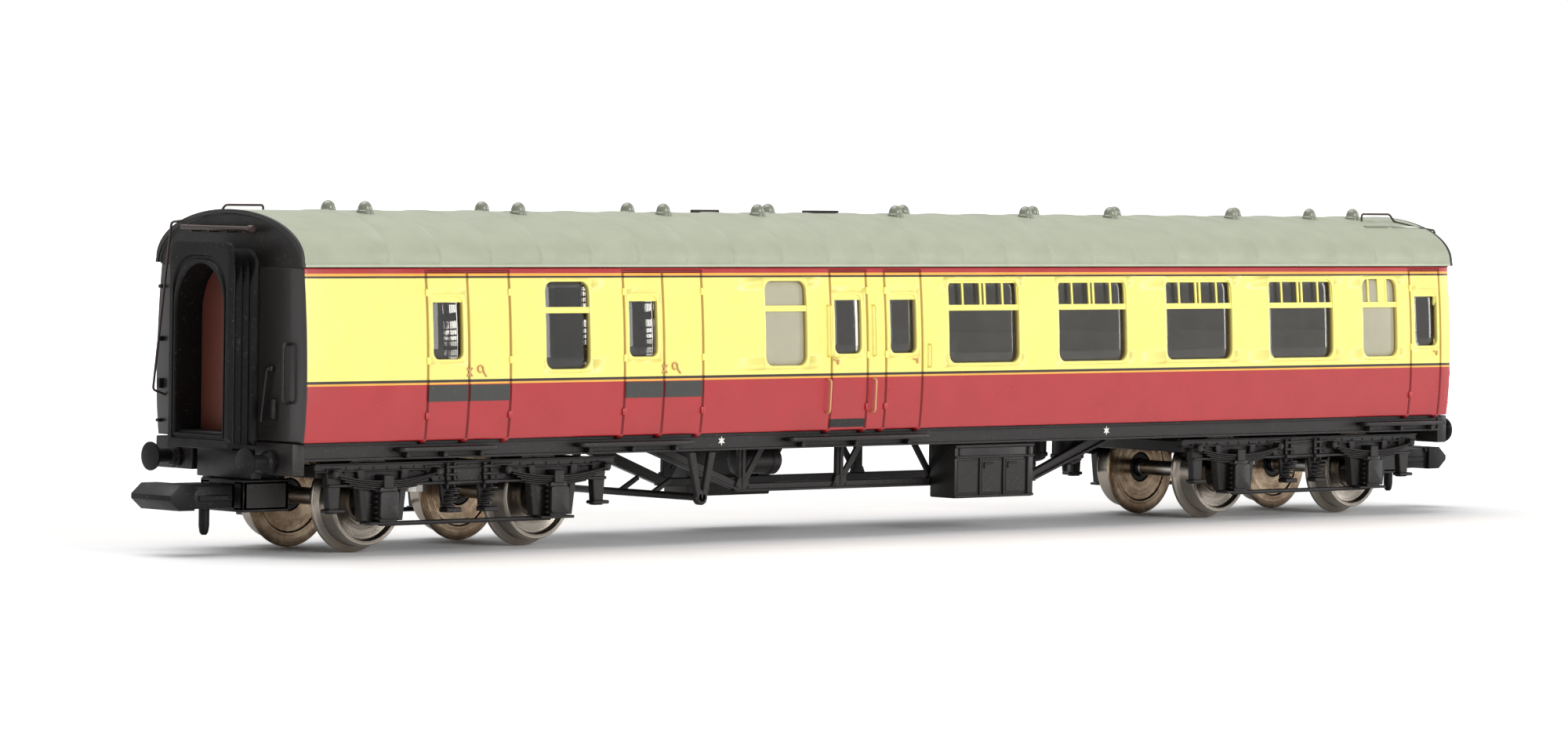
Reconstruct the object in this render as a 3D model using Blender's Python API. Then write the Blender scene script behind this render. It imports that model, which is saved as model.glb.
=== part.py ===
"""Model passenger coach, 1:148, with two swivelling four-wheel bogies and lifting couplers.

Every named size below is in millimetres. Shapes are worked out in millimetres and turned
into metres where a mesh is made (MM). X runs along the coach, -Y is the compartment side,
+Z is up, and Z = 0 is the bottom of the wheel flanges.
"""
import math

import bmesh
import bpy
from mathutils import Vector

MM = 0.001

# --- fits -----------------------------------------------------------------------------
FIT = 0.08             # gap between two pieces that seat on each other
RUN = 0.08             # radial play of a turning piece
BITE = 0.06            # how far joined shapes run into each other

# --- wheels: the height of everything else starts from these ---------------------------
FLANGE_R = 4.15
TREAD_R = 3.6
BACK_TO_BACK = 7.5
FLANGE_THICK = 0.6
WHEEL_WIDTH = 2.1
RIM = 0.55
WHEEL_ROOM = 0.45      # above the flanges, to the floor
WHEEL_SEGMENTS = 24
AXLE_Z = FLANGE_R
AXLE_R = 0.75
JOURNAL_R = 0.5
BUSH_R = AXLE_R + 0.5
SOCKET_PLAY = 0.08     # at each pointed end of an axle

# --- body -----------------------------------------------------------------------------
BODY_LENGTH = 132.8
FLOOR_FOOT = 2 * FLANGE_R + WHEEL_ROOM
FLOOR_HEAD = FLOOR_FOOT + 0.75
FOOT_Z = FLOOR_FOOT + 0.15
WAIST_Z = FOOT_Z + 4.4
CANTRAIL_Z = FOOT_Z + 13.4
FOOT_HALF = 9.14
WAIST_HALF = 9.46
CANTRAIL_HALF = 8.93
SIDE_WALL = 0.8
END_WALL = 1.0
SIDE_STEPS = 4         # flats in the upper part of a side's curve

# --- openings in the sides: centre X, width; heights are shared -----------------------
WINDOW_FOOT = FOOT_Z + 5.4
WINDOW_HEAD = FOOT_Z + 12.3
COMPARTMENT_XS = (6.76, 19.9, 33.2, 46.35)
COMPARTMENT_WIDTH = 8.3
LUGGAGE_XS = (-39.75, -16.07)
LUGGAGE_WIDTH = 4.6
TOILET_X = 56.8
TOILET_WIDTH = 4.55
LIGHT_FOOT = FOOT_Z + 6.3      # door windows
LIGHT_HEAD = FOOT_Z + 11.15
LIGHT_WIDTH = 3.0
DOOR_LIGHT_XS = (-52.15, -31.75, -9.1, -2.75, 63.0)
FAR_DOOR_LIGHT_XS = (-38.95, -27.8, -18.2, -2.75, 63.0)
CORNER_R = 0.6
CORNER_STEPS = 2

# --- roof -----------------------------------------------------------------------------
ROOF_OVERHANG = 0.25   # past each end wall
ROOF_RISE = 4.3        # crest above the cantrail
ROOF_EAVE = 0.25       # past the cantrail at each side
ROOF_SKIN = 0.8
ROOF_STEPS = 18
NEAR_VENT_XS = (-55.2, -39.4, -23.8, -13.3, 2.6, 18.2, 28.7, 44.2, 54.5, 60.3)
FAR_VENT_XS = (-54.7, -38.8, -23.1, -7.3, 8.5, 24.3, 34.6, 50.2)
VENT_Y = 2.6
VENT_R = 0.75
VENT_HEIGHT = 0.55

# --- glazing and interior -------------------------------------------------------------
GLAZING = 0.45
GLAZING_LIP = 0.5      # overlap behind the edge of an opening
PARTITION = 0.6
PARTITION_XS = (-12.6, 0.2, 13.3, 26.55, 39.8, 53.0, 60.4)
PARTITION_TOP = CANTRAIL_Z - 1.3
SEAT_DEPTH = 2.6
SEAT_TOP = FLOOR_HEAD + 3.1
BACK_TOP = SEAT_TOP + 4.0
CORRIDOR_Y = 2.6       # the compartments stop here and the side corridor begins
INTERIOR_HALF = CANTRAIL_HALF - SIDE_WALL - GLAZING - 3 * FIT
TRAY = 0.5
BALLAST_LENGTH = 44.0
BALLAST_WIDTH = 9.0
BALLAST_HEIGHT = 1.1
BALLAST_X = -35.0

# --- gangways -------------------------------------------------------------------------
GANGWAY_REACH = 3.04   # past the end wall
GANGWAY_HALF = 3.83
GANGWAY_FOOT = FOOT_Z - 0.7
GANGWAY_SHOULDER = CANTRAIL_Z + 1.0
GANGWAY_CROWN = CANTRAIL_Z + 1.9
DOORWAY_HALF = 3.02
DOORWAY_FOOT = FOOT_Z + 0.45
DOORWAY_CROWN = CANTRAIL_Z + 0.2
DOORWAY_SPRING = CANTRAIL_Z - 3.7
DOOR_PANEL = 0.4

# --- coupler pocket: its top sets the draw panel's foot --------------------------------
COUPLER_Z = 4.55       # mid-height of the head
TAIL_HEIGHT = 1.2
POCKET_WALL = 0.4
POCKET_GAP = 0.25      # room above and below the tail
POCKET_TOP = COUPLER_Z + TAIL_HEIGHT / 2 + POCKET_GAP + POCKET_WALL
PANEL_ROOM = 0.1       # between the pocket and the draw panel that it swings under

# --- underframe -----------------------------------------------------------------------
SOLEBAR_FOOT = FLOOR_FOOT - 1.3
SOLEBAR_OUT = FOOT_HALF - 0.59
SOLEBAR_THICK = 0.8
HEADSTOCK_THICK = 1.2
HEADSTOCK_PROUD = 0.5  # past the end wall
HEADSTOCK_FOOT = POCKET_TOP + 0.55
DRAW_PANEL_FOOT = POCKET_TOP + PANEL_ROOM
DRAW_PANEL_HALF = 3.4
FOOTBOARDS = ((-52.0, 9.9), (-32.3, 12.2), (-7.6, 16.0), (60.3, 11.0))
FOOTBOARD_Z = SOLEBAR_FOOT + 0.6
FOOTBOARD_THICK = 0.35
FOOTBOARD_OUT = SOLEBAR_OUT + 1.2

# --- buffers and handrails --------------------------------------------------------------
BUFFER_Y = 5.9
BUFFER_Z = SOLEBAR_FOOT - 0.1
BUFFER_HEAD_R = 1.15
BUFFER_SHANK_R = 0.55
BUFFER_BASE_R = 0.85
BUFFER_REACH = 3.25    # past the end wall
WIRE_R = 0.16
RAIL_PROUD = 0.65      # centre of a handrail, out from what it stands on
WIRE_SIDES = 2         # bevel resolution: 8 sides

# --- bogies ---------------------------------------------------------------------------
BOGIE_CENTRE = BODY_LENGTH / 2 - 17.9
AXLE_HALF = 8.75       # half of the wheelbase
FRAME_HEAD = SOLEBAR_FOOT - 0.25
FRAME_Y = 6.9          # inner face of the side frames
FRAME_THICK = 0.8
FRAME_RAIL = 0.7
FRAME_END = AXLE_HALF + 6.65
PIVOT_R = 1.0
SCREW_HEAD_R = 1.7
SCREW_HEAD_THICK = 0.7
BOLSTER_HALF = 3.0
BOLSTER_FOOT = AXLE_Z + 1.05
BOLSTER_HEAD = FRAME_HEAD
BEARING_R = 2.6        # round pad on which the coach rests
SPRING_OUT = FRAME_Y + 1.45
SPRING_HALF = 5.2
SPRING_EYE_Z = FRAME_HEAD - 0.58
AXLEBOX_HALF = 1.5
AXLEBOX_FOOT = AXLE_Z - 1.9
AXLEBOX_HEAD = AXLE_Z + 1.15
AXLEBOX_OUT = FRAME_Y + 1.8
HANGER_FOOT = AXLE_Z - 0.85
TIE_Z = AXLEBOX_FOOT
TIE_THICK = 0.4
END_BAR_IN = AXLE_HALF + 5.2
END_BAR_OUT = END_BAR_IN + 0.95
END_BAR_FOOT = FRAME_HEAD - 1.15
AXLE_TIP_Y = FRAME_Y + 0.45

# --- under the floor ------------------------------------------------------------------
TRUSS_Y = 4.3          # inner face
TRUSS_BAR = 0.7
TRUSS_FOOT = FLOOR_FOOT - 5.0
TRUSS_HALF_TOP = BOGIE_CENTRE - FRAME_END - 4.1
TRUSS_HALF_LOW = TRUSS_HALF_TOP - 12.0
TRUSS_POST_GAP = 11.1
V_HANGER_X = 4.7 - TRUSS_HALF_TOP
V_HANGER_SPREAD = 1.5
V_HANGER_FOOT = SOLEBAR_FOOT - 4.35
V_HANGER_THICK = 0.5
SHAFT_R = 0.35
BATTERY_X = 9.4
BATTERY_LENGTH = 9.4
BATTERY_FOOT = SOLEBAR_FOOT - 4.65
BATTERY_OUT = SOLEBAR_OUT - 0.45
FAR_BATTERY_X = -9.0
CYLINDER_X = 24.2
CYLINDER_R = 1.5
CYLINDER_Y = CYLINDER_R + 0.7
CYLINDER_LENGTH = 3.4
DYNAMO_X = -13.2
DYNAMO_Y = -2.6
DYNAMO_R = 1.25
DYNAMO_LENGTH = 4.6

# --- couplers -------------------------------------------------------------------------
HEAD_HALF = 2.5
HEAD_HEIGHT = 2.0
BODY_HALF = 2.2
SHANK_HALF = 1.0
SHANK_THICK = 0.8
TAIL_HALF = 1.8
TAIL_THICK = 0.8
TAIL_X = END_BAR_IN + 2.55     # coupler's lift axis, from the bogie centre
POCKET_MOUTH = TAIL_X + 2.0
BODY_BACK = POCKET_MOUTH + 0.6
HEAD_BACK = BODY_BACK + 3.9
COUPLER_NOSE = HEAD_BACK + 2.4
NOSE_FLAT = 0.4        # height of the upright face at the tip of the nose
DROPPER_R = 0.42
DROPPER_X = BODY_BACK + 1.1
DROPPER_FOOT = 1.5
SPRING_WIRE = 0.11
SPRING_TURNS = 3
SPRING_COIL_R = 0.45
SPRING_PLAY = 0.2      # between the coil and the tail, for the tail's tilt


# --- making meshes ---------------------------------------------------------------------
def material(name, colour, roughness, metallic=0.0, alpha=1.0):
    """One plain Principled material of this colour."""
    made = bpy.data.materials.new(name)
    made.use_nodes = True
    shader = made.node_tree.nodes["Principled BSDF"]
    shader.inputs["Base Color"].default_value = (*colour, 1.0)
    shader.inputs["Roughness"].default_value = roughness
    shader.inputs["Metallic"].default_value = metallic
    shader.inputs["Alpha"].default_value = alpha
    return made


def placed(name, shell, finish=None, at=(0.0, 0.0, 0.0), turn=0.0, parent=None, smooth=False):
    """Puts a bmesh, given in millimetres about its own origin, in the scene in metres."""
    bmesh.ops.recalc_face_normals(shell, faces=shell.faces)
    bmesh.ops.scale(shell, vec=(MM, MM, MM), verts=shell.verts)
    mesh = bpy.data.meshes.new(name)
    shell.to_mesh(mesh)
    shell.free()
    made = bpy.data.objects.new(name, mesh)
    bpy.context.collection.objects.link(made)
    made.location = Vector(at) * MM
    made.rotation_euler.z = turn
    if parent:
        made.parent = parent
    if finish:
        mesh.materials.append(finish)
    if smooth:
        mesh.shade_smooth()
        mesh.set_sharp_from_angle(angle=math.radians(40.0))
    return made


def block(x, y, z):
    """A box between the limits (low, high) on each axis."""
    shell = bmesh.new()
    size = [high - low for low, high in (x, y, z)]
    middle = Vector([(low + high) / 2 for low, high in (x, y, z)])
    bmesh.ops.create_cube(shell, size=1.0)
    bmesh.ops.scale(shell, vec=size, verts=shell.verts)
    bmesh.ops.translate(shell, vec=middle, verts=shell.verts)
    return shell


def prism(outline, low, high, axis="Y"):
    """An outline drawn in the other two axes, carried along one axis from low to high."""
    order = {"X": lambda a, b, c: (c, a, b), "Y": lambda a, b, c: (a, c, b),
             "Z": lambda a, b, c: (a, b, c)}[axis]
    shell = bmesh.new()
    rings = [[shell.verts.new(order(a, b, c)) for a, b in outline] for c in (low, high)]
    shell.faces.new(rings[0])
    shell.faces.new(rings[1])
    count = len(outline)
    for i in range(count):
        j = (i + 1) % count
        shell.faces.new((rings[0][i], rings[0][j], rings[1][j], rings[1][i]))
    return shell


def turned(profile, steps, axis="Y"):
    """A closed profile of (radius, place along axis), spun about that axis."""
    shell = bmesh.new()
    rings = []
    for k in range(steps):
        angle = 2 * math.pi * (k + 0.5) / steps
        c, s = math.cos(angle), math.sin(angle)
        place = {"X": lambda r, t: (t, r * c, r * s), "Y": lambda r, t: (r * s, t, r * c),
                 "Z": lambda r, t: (r * c, r * s, t)}[axis]
        rings.append([shell.verts.new(place(max(r, 0.0), t)) for r, t in profile])
    for k in range(steps):
        near, far = rings[k], rings[(k + 1) % steps]
        for i in range(len(profile)):
            j = (i + 1) % len(profile)
            shell.faces.new((near[i], near[j], far[j], far[i]))
    bmesh.ops.remove_doubles(shell, verts=shell.verts, dist=1e-5)
    return shell


def rod(radius, low, high, steps, axis="Y", tip=0.0):
    """A solid round bar, with both ends brought to a smaller radius over a length of tip."""
    profile = [(0.0, low), (radius, low), (radius, high), (0.0, high)]
    if tip:
        profile = [(0.0, low), (0.04, low), (radius, low + tip), (radius, high - tip),
                   (0.04, high), (0.0, high)]
    return turned(profile, steps, axis)


def shifted(shell, by):
    """The same shell, moved."""
    bmesh.ops.translate(shell, vec=by, verts=shell.verts)
    return shell


def settled(holder):
    """Bakes an object's modifiers into its mesh and clears away the tools they used."""
    tools = [m.object for m in holder.modifiers]
    graph = bpy.context.evaluated_depsgraph_get()
    baked = bpy.data.meshes.new_from_object(holder.evaluated_get(graph))
    holder.modifiers.clear()
    holder.data = baked
    for tool in tools:
        bpy.data.objects.remove(tool)
    return holder


def worked(base, shells, operation):
    """Joins shells to, or cuts them from, an object with one exact Boolean each."""
    for k, shell in enumerate(shells):
        tool = placed(f"tool_{k}", shell)
        tool.location = base.location
        tool.rotation_euler = base.rotation_euler
        tool.parent = base.parent
        tool.hide_render = True
        tool.display_type = "WIRE"
        step = base.modifiers.new(f"{operation}_{k}", "BOOLEAN")
        step.operation = operation
        step.solver = "EXACT"
        step.object = tool
    return settled(base)


# --- outlines and curves ----------------------------------------------------------------
def half_width(z):
    """Half of the body's width at a height: two parabolas that meet at the waist."""
    if z < WAIST_Z:
        share = (WAIST_Z - z) / (WAIST_Z - FOOT_Z)
        return WAIST_HALF - (WAIST_HALF - FOOT_HALF) * share ** 2
    share = (z - WAIST_Z) / (CANTRAIL_Z - WAIST_Z)
    return WAIST_HALF - (WAIST_HALF - CANTRAIL_HALF) * share ** 2


def roof_z(y):
    """Height of the roof's outer skin at a distance from the centre line: an ellipse."""
    reach = CANTRAIL_HALF + ROOF_EAVE
    return CANTRAIL_Z + ROOF_RISE * math.sqrt(max(0.0, 1.0 - (y / reach) ** 2))


def side_heights():
    """Heights at which the curve of a side is sampled, from foot to cantrail."""
    lower = [FOOT_Z + (WAIST_Z - FOOT_Z) * k / 2 for k in range(2)]
    upper = [WAIST_Z + (CANTRAIL_Z - WAIST_Z) * k / SIDE_STEPS for k in range(SIDE_STEPS + 1)]
    return lower + upper


def arc(centre, radius, start, end, steps):
    """Points of a round stretch, in degrees, both ends included."""
    angles = [math.radians(start + (end - start) * k / steps) for k in range(steps + 1)]
    return [(centre[0] + radius * math.cos(a), centre[1] + radius * math.sin(a)) for a in angles]


def rounded(x, z, radius, steps):
    """A rectangle with round corners, as an outline."""
    corners = ((x[1], z[1], 0), (x[0], z[1], 90), (x[0], z[0], 180), (x[1], z[0], 270))
    points = []
    for cx, cz, start in corners:
        dx = -radius if start in (0, 270) else radius
        dz = -radius if start in (0, 90) else radius
        points += arc((cx + dx, cz + dz), radius, start, start + 90, steps)
    return points


def openings(side):
    """Every opening in one side (-1 near, 1 far): its limits along the coach and in height."""
    lights = DOOR_LIGHT_XS if side < 0 else FAR_DOOR_LIGHT_XS
    luggage = LUGGAGE_XS if side < 0 else ()
    groups = (
        (COMPARTMENT_XS, COMPARTMENT_WIDTH, WINDOW_FOOT, WINDOW_HEAD),
        (luggage, LUGGAGE_WIDTH, WINDOW_FOOT, WINDOW_HEAD),
        ((TOILET_X,), TOILET_WIDTH, WINDOW_FOOT, WINDOW_HEAD),
        (lights, LIGHT_WIDTH, LIGHT_FOOT, LIGHT_HEAD),
    )
    return [((x - wide / 2, x + wide / 2), (low, high))
            for xs, wide, low, high in groups for x in xs]


# --- coach body -------------------------------------------------------------------------
def make_body(finish):
    """The moulded body: two curved sides and two flat ends, open at the floor and the roof."""
    heights = side_heights()
    half = BODY_LENGTH / 2
    outer = [(half_width(z), z) for z in heights]
    inner = [(y - SIDE_WALL, z) for y, z in outer]
    section = [(-y, z) for y, z in reversed(outer)] + outer
    body = placed("body_shell", prism(section, -half, half, "X"), finish)
    reach = 1.0
    inner[0] = (inner[0][0], FOOT_Z - reach)
    inner[-1] = (inner[-1][0], CANTRAIL_Z + reach)
    hollow = [(-y, z) for y, z in reversed(inner)] + inner
    cuts = [prism(hollow, END_WALL - half, half - END_WALL, "X")]
    for side in (-1, 1):
        through = sorted((side * (WAIST_HALF + 1), side * CORRIDOR_Y))
        cuts += [prism(rounded(x, z, CORNER_R, CORNER_STEPS), *through) for x, z in openings(side)]
    return worked(body, cuts, "DIFFERENCE")


def make_roof(finish):
    """The roof moulding: an elliptical shell with two rows of domed ventilators."""
    half = BODY_LENGTH / 2 + ROOF_OVERHANG
    reach = CANTRAIL_HALF + ROOF_EAVE
    base = CANTRAIL_Z + FIT

    def bow(shrink):
        angles = [math.pi * k / ROOF_STEPS for k in range(ROOF_STEPS + 1)]
        return [((reach - shrink) * math.cos(a), base + (ROOF_RISE - shrink) * math.sin(a))
                for a in angles]

    roof = placed("roof", prism(bow(0.0) + bow(ROOF_SKIN)[::-1], -half, half, "X"), finish)
    ends = []
    wall = half - ROOF_OVERHANG
    for low, high in ((-wall, END_WALL - wall), (wall - END_WALL, wall)):
        ends.append(prism(bow(ROOF_SKIN - BITE), low, high, "X"))
    vents = []
    for xs, y in ((NEAR_VENT_XS, -VENT_Y), (FAR_VENT_XS, VENT_Y)):
        top = roof_z(y) + VENT_HEIGHT
        foot = roof_z(y) - ROOF_SKIN / 2
        dome = [(0.0, foot), (VENT_R, foot), (VENT_R, top - VENT_HEIGHT / 2),
                (VENT_R * 0.55, top), (0.0, top)]
        vents += [shifted(turned(dome, 8, "Z"), (x, y, 0.0)) for x in xs]
    return worked(roof, ends + vents, "UNION")


def make_glazing(finish):
    """A curved clear strip behind the openings of each side."""
    low = WINDOW_FOOT - GLAZING_LIP
    high = WINDOW_HEAD + GLAZING_LIP
    heights = [low + (high - low) * k / 4 for k in range(5)]
    outer = [(half_width(z) - SIDE_WALL - FIT, z) for z in heights]
    inner = [(y - GLAZING, z) for y, z in outer]
    for name, side in (("glazing_compartment_side", -1), ("glazing_corridor_side", 1)):
        left = min(x[0] for x, z in openings(side)) - GLAZING_LIP
        right = max(x[1] for x, z in openings(side)) + GLAZING_LIP
        strip = [(side * y, z) for y, z in outer + inner[::-1]]
        placed(name, prism(strip, left, right, "X"), finish)


def make_interior(finish):
    """The seating moulding: a tray with cross walls, bench seats and a corridor wall."""
    foot = FLOOR_HEAD + FIT
    half = BODY_LENGTH / 2 - END_WALL - FIT
    tray = placed("seating_unit", block((-half, half), (-INTERIOR_HALF, INTERIOR_HALF),
                                        (foot, foot + TRAY)), finish)
    parts = []
    sunk = foot + TRAY - BITE
    for x in PARTITION_XS:
        parts.append(block((x - PARTITION / 2, x + PARTITION / 2),
                           (-INTERIOR_HALF, CORRIDOR_Y), (sunk, PARTITION_TOP)))
    bays = list(zip(PARTITION_XS[1:5], PARTITION_XS[2:6]))
    for left, right in bays:
        a = left + PARTITION / 2 - BITE
        b = right - PARTITION / 2 + BITE
        for seat, back in (((a, a + SEAT_DEPTH), (a, a + SEAT_DEPTH / 3)),
                           ((b - SEAT_DEPTH, b), (b - SEAT_DEPTH / 3, b))):
            parts.append(block(seat, (-INTERIOR_HALF + BITE, CORRIDOR_Y - BITE), (sunk, SEAT_TOP)))
            parts.append(block(back, (-INTERIOR_HALF + 2 * BITE, CORRIDOR_Y - 2 * BITE),
                               (SEAT_TOP - BITE, BACK_TOP)))
    wall = (CORRIDOR_Y - PARTITION, CORRIDOR_Y + BITE)
    parts.append(block((PARTITION_XS[1], PARTITION_XS[5]), wall, (sunk - BITE, PARTITION_TOP + BITE)))
    return worked(tray, parts, "UNION")


def make_ballast(finish):
    """The steel weight that lies on the luggage van's floor."""
    foot = FLOOR_HEAD + 2 * FIT + TRAY
    x = (BALLAST_X - BALLAST_LENGTH / 2, BALLAST_X + BALLAST_LENGTH / 2)
    placed("ballast_weight", block(x, (-BALLAST_WIDTH / 2, BALLAST_WIDTH / 2),
                                   (foot, foot + BALLAST_HEIGHT)), finish)


def doorway(inset):
    """The arched opening of a gangway, drawn smaller by an inset: straight jambs, elliptical head."""
    half = DOORWAY_HALF - inset
    rise = DOORWAY_CROWN - DOORWAY_SPRING - inset
    arch = [(half * math.cos(a), DOORWAY_SPRING + rise * math.sin(a))
            for a in (math.pi * k / 12 for k in range(13))]
    return [(-half, DOORWAY_FOOT + inset), (half, DOORWAY_FOOT + inset)] + arch


def make_gangways(rubber, panel):
    """At each end a deep gangway frame with an arched opening, and the corridor door in it."""
    wall = BODY_LENGTH / 2
    crown = [(GANGWAY_HALF, GANGWAY_SHOULDER), (GANGWAY_HALF * 0.5, GANGWAY_CROWN - 0.2),
             (0.0, GANGWAY_CROWN)]
    right = [(GANGWAY_HALF, GANGWAY_FOOT)] + crown
    outline = right + [(-y, z) for y, z in right[::-1] if y > 0]
    for name, side in (("gangway_van_end", -1), ("gangway_passenger_end", 1)):
        faces = sorted((side * (wall + FIT), side * (wall + GANGWAY_REACH)))
        frame = placed(name, prism(outline, *faces, "X"), rubber)
        worked(frame, [prism(doorway(0.0), faces[0] - 1, faces[1] + 1, "X")], "DIFFERENCE")
        door_faces = sorted((side * (wall + FIT), side * (wall + FIT + DOOR_PANEL)))
        placed(name.replace("gangway", "corridor_door"), prism(doorway(FIT), *door_faces, "X"), panel)


# --- underframe -------------------------------------------------------------------------
def make_underframe(finish):
    """Floor, solebars, headstocks, bolster pads and footboards in one moulding."""
    floor_half = FOOT_HALF - SIDE_WALL - FIT
    inside = BODY_LENGTH / 2 - END_WALL - FIT
    base = placed("underframe", block((-inside, inside), (-floor_half, floor_half),
                                      (FLOOR_FOOT, FLOOR_HEAD)), finish)
    head_out = BODY_LENGTH / 2 + HEADSTOCK_PROUD
    head_in = head_out - HEADSTOCK_THICK
    top = FOOT_Z - FIT
    parts = []
    for side in (-1, 1):
        solebar = sorted((side * SOLEBAR_OUT, side * (SOLEBAR_OUT - SOLEBAR_THICK)))
        parts.append(block((-head_in - BITE, head_in + BITE), solebar, (SOLEBAR_FOOT, top)))
        for x, length in FOOTBOARDS:
            board = sorted((side * (SOLEBAR_OUT - 2 * BITE), side * FOOTBOARD_OUT))
            parts.append(block((x - length / 2, x + length / 2), board,
                               (FOOTBOARD_Z, FOOTBOARD_Z + FOOTBOARD_THICK)))
        beam = sorted((side * head_in, side * head_out))
        parts.append(block(beam, (-SOLEBAR_OUT - BITE, SOLEBAR_OUT + BITE), (HEADSTOCK_FOOT, top - BITE)))
        parts.append(block((beam[0] + BITE, beam[1] - BITE), (-DRAW_PANEL_HALF, DRAW_PANEL_HALF),
                           (DRAW_PANEL_FOOT, HEADSTOCK_FOOT + BITE)))
        pad = rod(BEARING_R, BOLSTER_HEAD + FIT, FLOOR_FOOT + BITE, 16, "Z")
        parts.append(shifted(pad, (side * BOGIE_CENTRE, 0.0, 0.0)))
    worked(base, parts, "UNION")
    cuts = []
    for side in (-1, 1):
        hole = rod(PIVOT_R + FIT, BOLSTER_HEAD - 1, FLOOR_HEAD + 1, 12, "Z")
        cuts.append(shifted(hole, (side * BOGIE_CENTRE, 0.0, 0.0)))
        rebate = sorted((side * BODY_LENGTH / 2, side * (head_out + 1)))
        room = GANGWAY_HALF + FIT
        cuts.append(block(rebate, (-room, room), (GANGWAY_FOOT - FIT, FLOOR_HEAD)))
    return worked(base, cuts, "DIFFERENCE")


def strut(start, end, thick, y):
    """A straight flat bar between two points of the XZ plane, as a prism across y."""
    along = (Vector(end) - Vector(start)).normalized()
    across = Vector((-along.y, along.x)) * thick / 2
    outline = [Vector(start) - across, Vector(end) - across, Vector(end) + across,
               Vector(start) + across]
    return prism([tuple(p) for p in outline], *y)


def make_trusses(finish):
    """The trussing under the floor on each side, with its posts, braces and V hanger."""
    top = FLOOR_FOOT - FIT
    low = TRUSS_FOOT + TRUSS_BAR / 2
    for name, side in (("truss_compartment_side", -1), ("truss_corridor_side", 1)):
        y = sorted((side * TRUSS_Y, side * (TRUSS_Y + TRUSS_BAR)))
        thin = (y[0] + 0.12, y[1] - 0.12)
        ends = (TRUSS_HALF_LOW + BITE, low), (TRUSS_HALF_TOP, top - TRUSS_BAR / 2)
        chord = [(-ends[0][0], low - TRUSS_BAR / 2), (ends[0][0], low - TRUSS_BAR / 2),
                 (ends[1][0], top - TRUSS_BAR), (ends[1][0], top), (ends[1][0] - 1.2, top),
                 (ends[0][0] - 0.3, low + TRUSS_BAR / 2), (0.3 - ends[0][0], low + TRUSS_BAR / 2),
                 (1.2 - ends[1][0], top), (-ends[1][0], top), (-ends[1][0], top - TRUSS_BAR)]
        base = placed(name, prism(chord, *y), finish)
        parts = []
        for x in (TRUSS_POST_GAP * (k - 1.5) for k in range(4)):
            parts.append(block((x - TRUSS_BAR / 2, x + TRUSS_BAR / 2), thin, (low, top)))
            lean = 3.0 if x < 0 else -3.0
            parts.append(strut((x, low), (x + lean, top - 0.5), TRUSS_BAR * 0.8,
                               (thin[0] + 0.05, thin[1] - 0.05)))
        worked(base, parts, "UNION")


def make_brake_shaft(finish):
    """The brake shaft that crosses under the floor, with a V hanger up to each solebar."""
    top = SOLEBAR_FOOT - FIT
    spread = V_HANGER_SPREAD
    wedge = [(-0.45, V_HANGER_FOOT), (0.45, V_HANGER_FOOT), (spread, top), (spread - 0.8, top),
             (0.0, V_HANGER_FOOT + 1.4), (0.8 - spread, top), (-spread, top)]
    outer = SOLEBAR_OUT - 0.15
    shaft = rod(SHAFT_R, BITE - outer, outer - BITE, 10, "Y")
    base = placed("brake_cross_shaft", shifted(shaft, (V_HANGER_X, 0.0, V_HANGER_FOOT + 0.55)), finish)
    hangers = []
    for side in (-1, 1):
        y = sorted((side * outer, side * (outer - V_HANGER_THICK)))
        hangers.append(prism([(V_HANGER_X + x, z) for x, z in wedge], *y))
    worked(base, hangers, "UNION")


def make_equipment(finish, dark):
    """Battery boxes, vacuum cylinders and the dynamo, hung from the floor."""
    top = SOLEBAR_FOOT - FIT
    for name, x, side in (("battery_box_compartment_side", BATTERY_X, -1),
                          ("battery_box_corridor_side", FAR_BATTERY_X, 1)):
        y = sorted((side * BATTERY_OUT, side * (TRUSS_Y + TRUSS_BAR + FIT)))
        low, high = x - BATTERY_LENGTH / 2, x + BATTERY_LENGTH / 2
        box = placed(name, block((low, high), y, (BATTERY_FOOT, top)), finish)
        ribs = [block((low + BATTERY_LENGTH * k / 4 - 0.15, low + BATTERY_LENGTH * k / 4 + 0.15),
                      sorted((side * (BATTERY_OUT - BITE), side * (BATTERY_OUT + 0.18))),
                      (BATTERY_FOOT + 0.3, top - 1.3)) for k in (1, 2, 3)]
        rail = block((low - BITE, high + BITE), sorted((side * (BATTERY_OUT - 0.1), side * (BATTERY_OUT + 0.12))),
                     (top - 1.5, top - 1.2))
        worked(box, ribs + [rail], "UNION")
    for k, side in enumerate((-1, 1), 1):
        drum = rod(CYLINDER_R, -CYLINDER_LENGTH / 2, CYLINDER_LENGTH / 2, 14, "Z")
        lift = FLOOR_FOOT - FIT - CYLINDER_LENGTH / 2
        made = placed(f"vacuum_cylinder_{k}", shifted(drum, (CYLINDER_X, side * CYLINDER_Y, lift)),
                      dark, smooth=True)
        foot = rod(CYLINDER_R * 0.35, -0.9, 0.3, 10, "Z")
        worked(made, [shifted(foot, (CYLINDER_X, side * CYLINDER_Y, lift - CYLINDER_LENGTH / 2))],
               "UNION")
    body = rod(DYNAMO_R, -DYNAMO_LENGTH / 2, DYNAMO_LENGTH / 2, 14, "X")
    hung = FLOOR_FOOT - FIT - 1.2 - DYNAMO_R
    dynamo = placed("dynamo", shifted(body, (DYNAMO_X, DYNAMO_Y, hung)), dark, smooth=True)
    bracket = block((DYNAMO_X - 0.6, DYNAMO_X + 0.6), (DYNAMO_Y - 0.5, DYNAMO_Y + 0.5),
                    (hung, FLOOR_FOOT - FIT))
    worked(dynamo, [bracket], "UNION")


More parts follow.
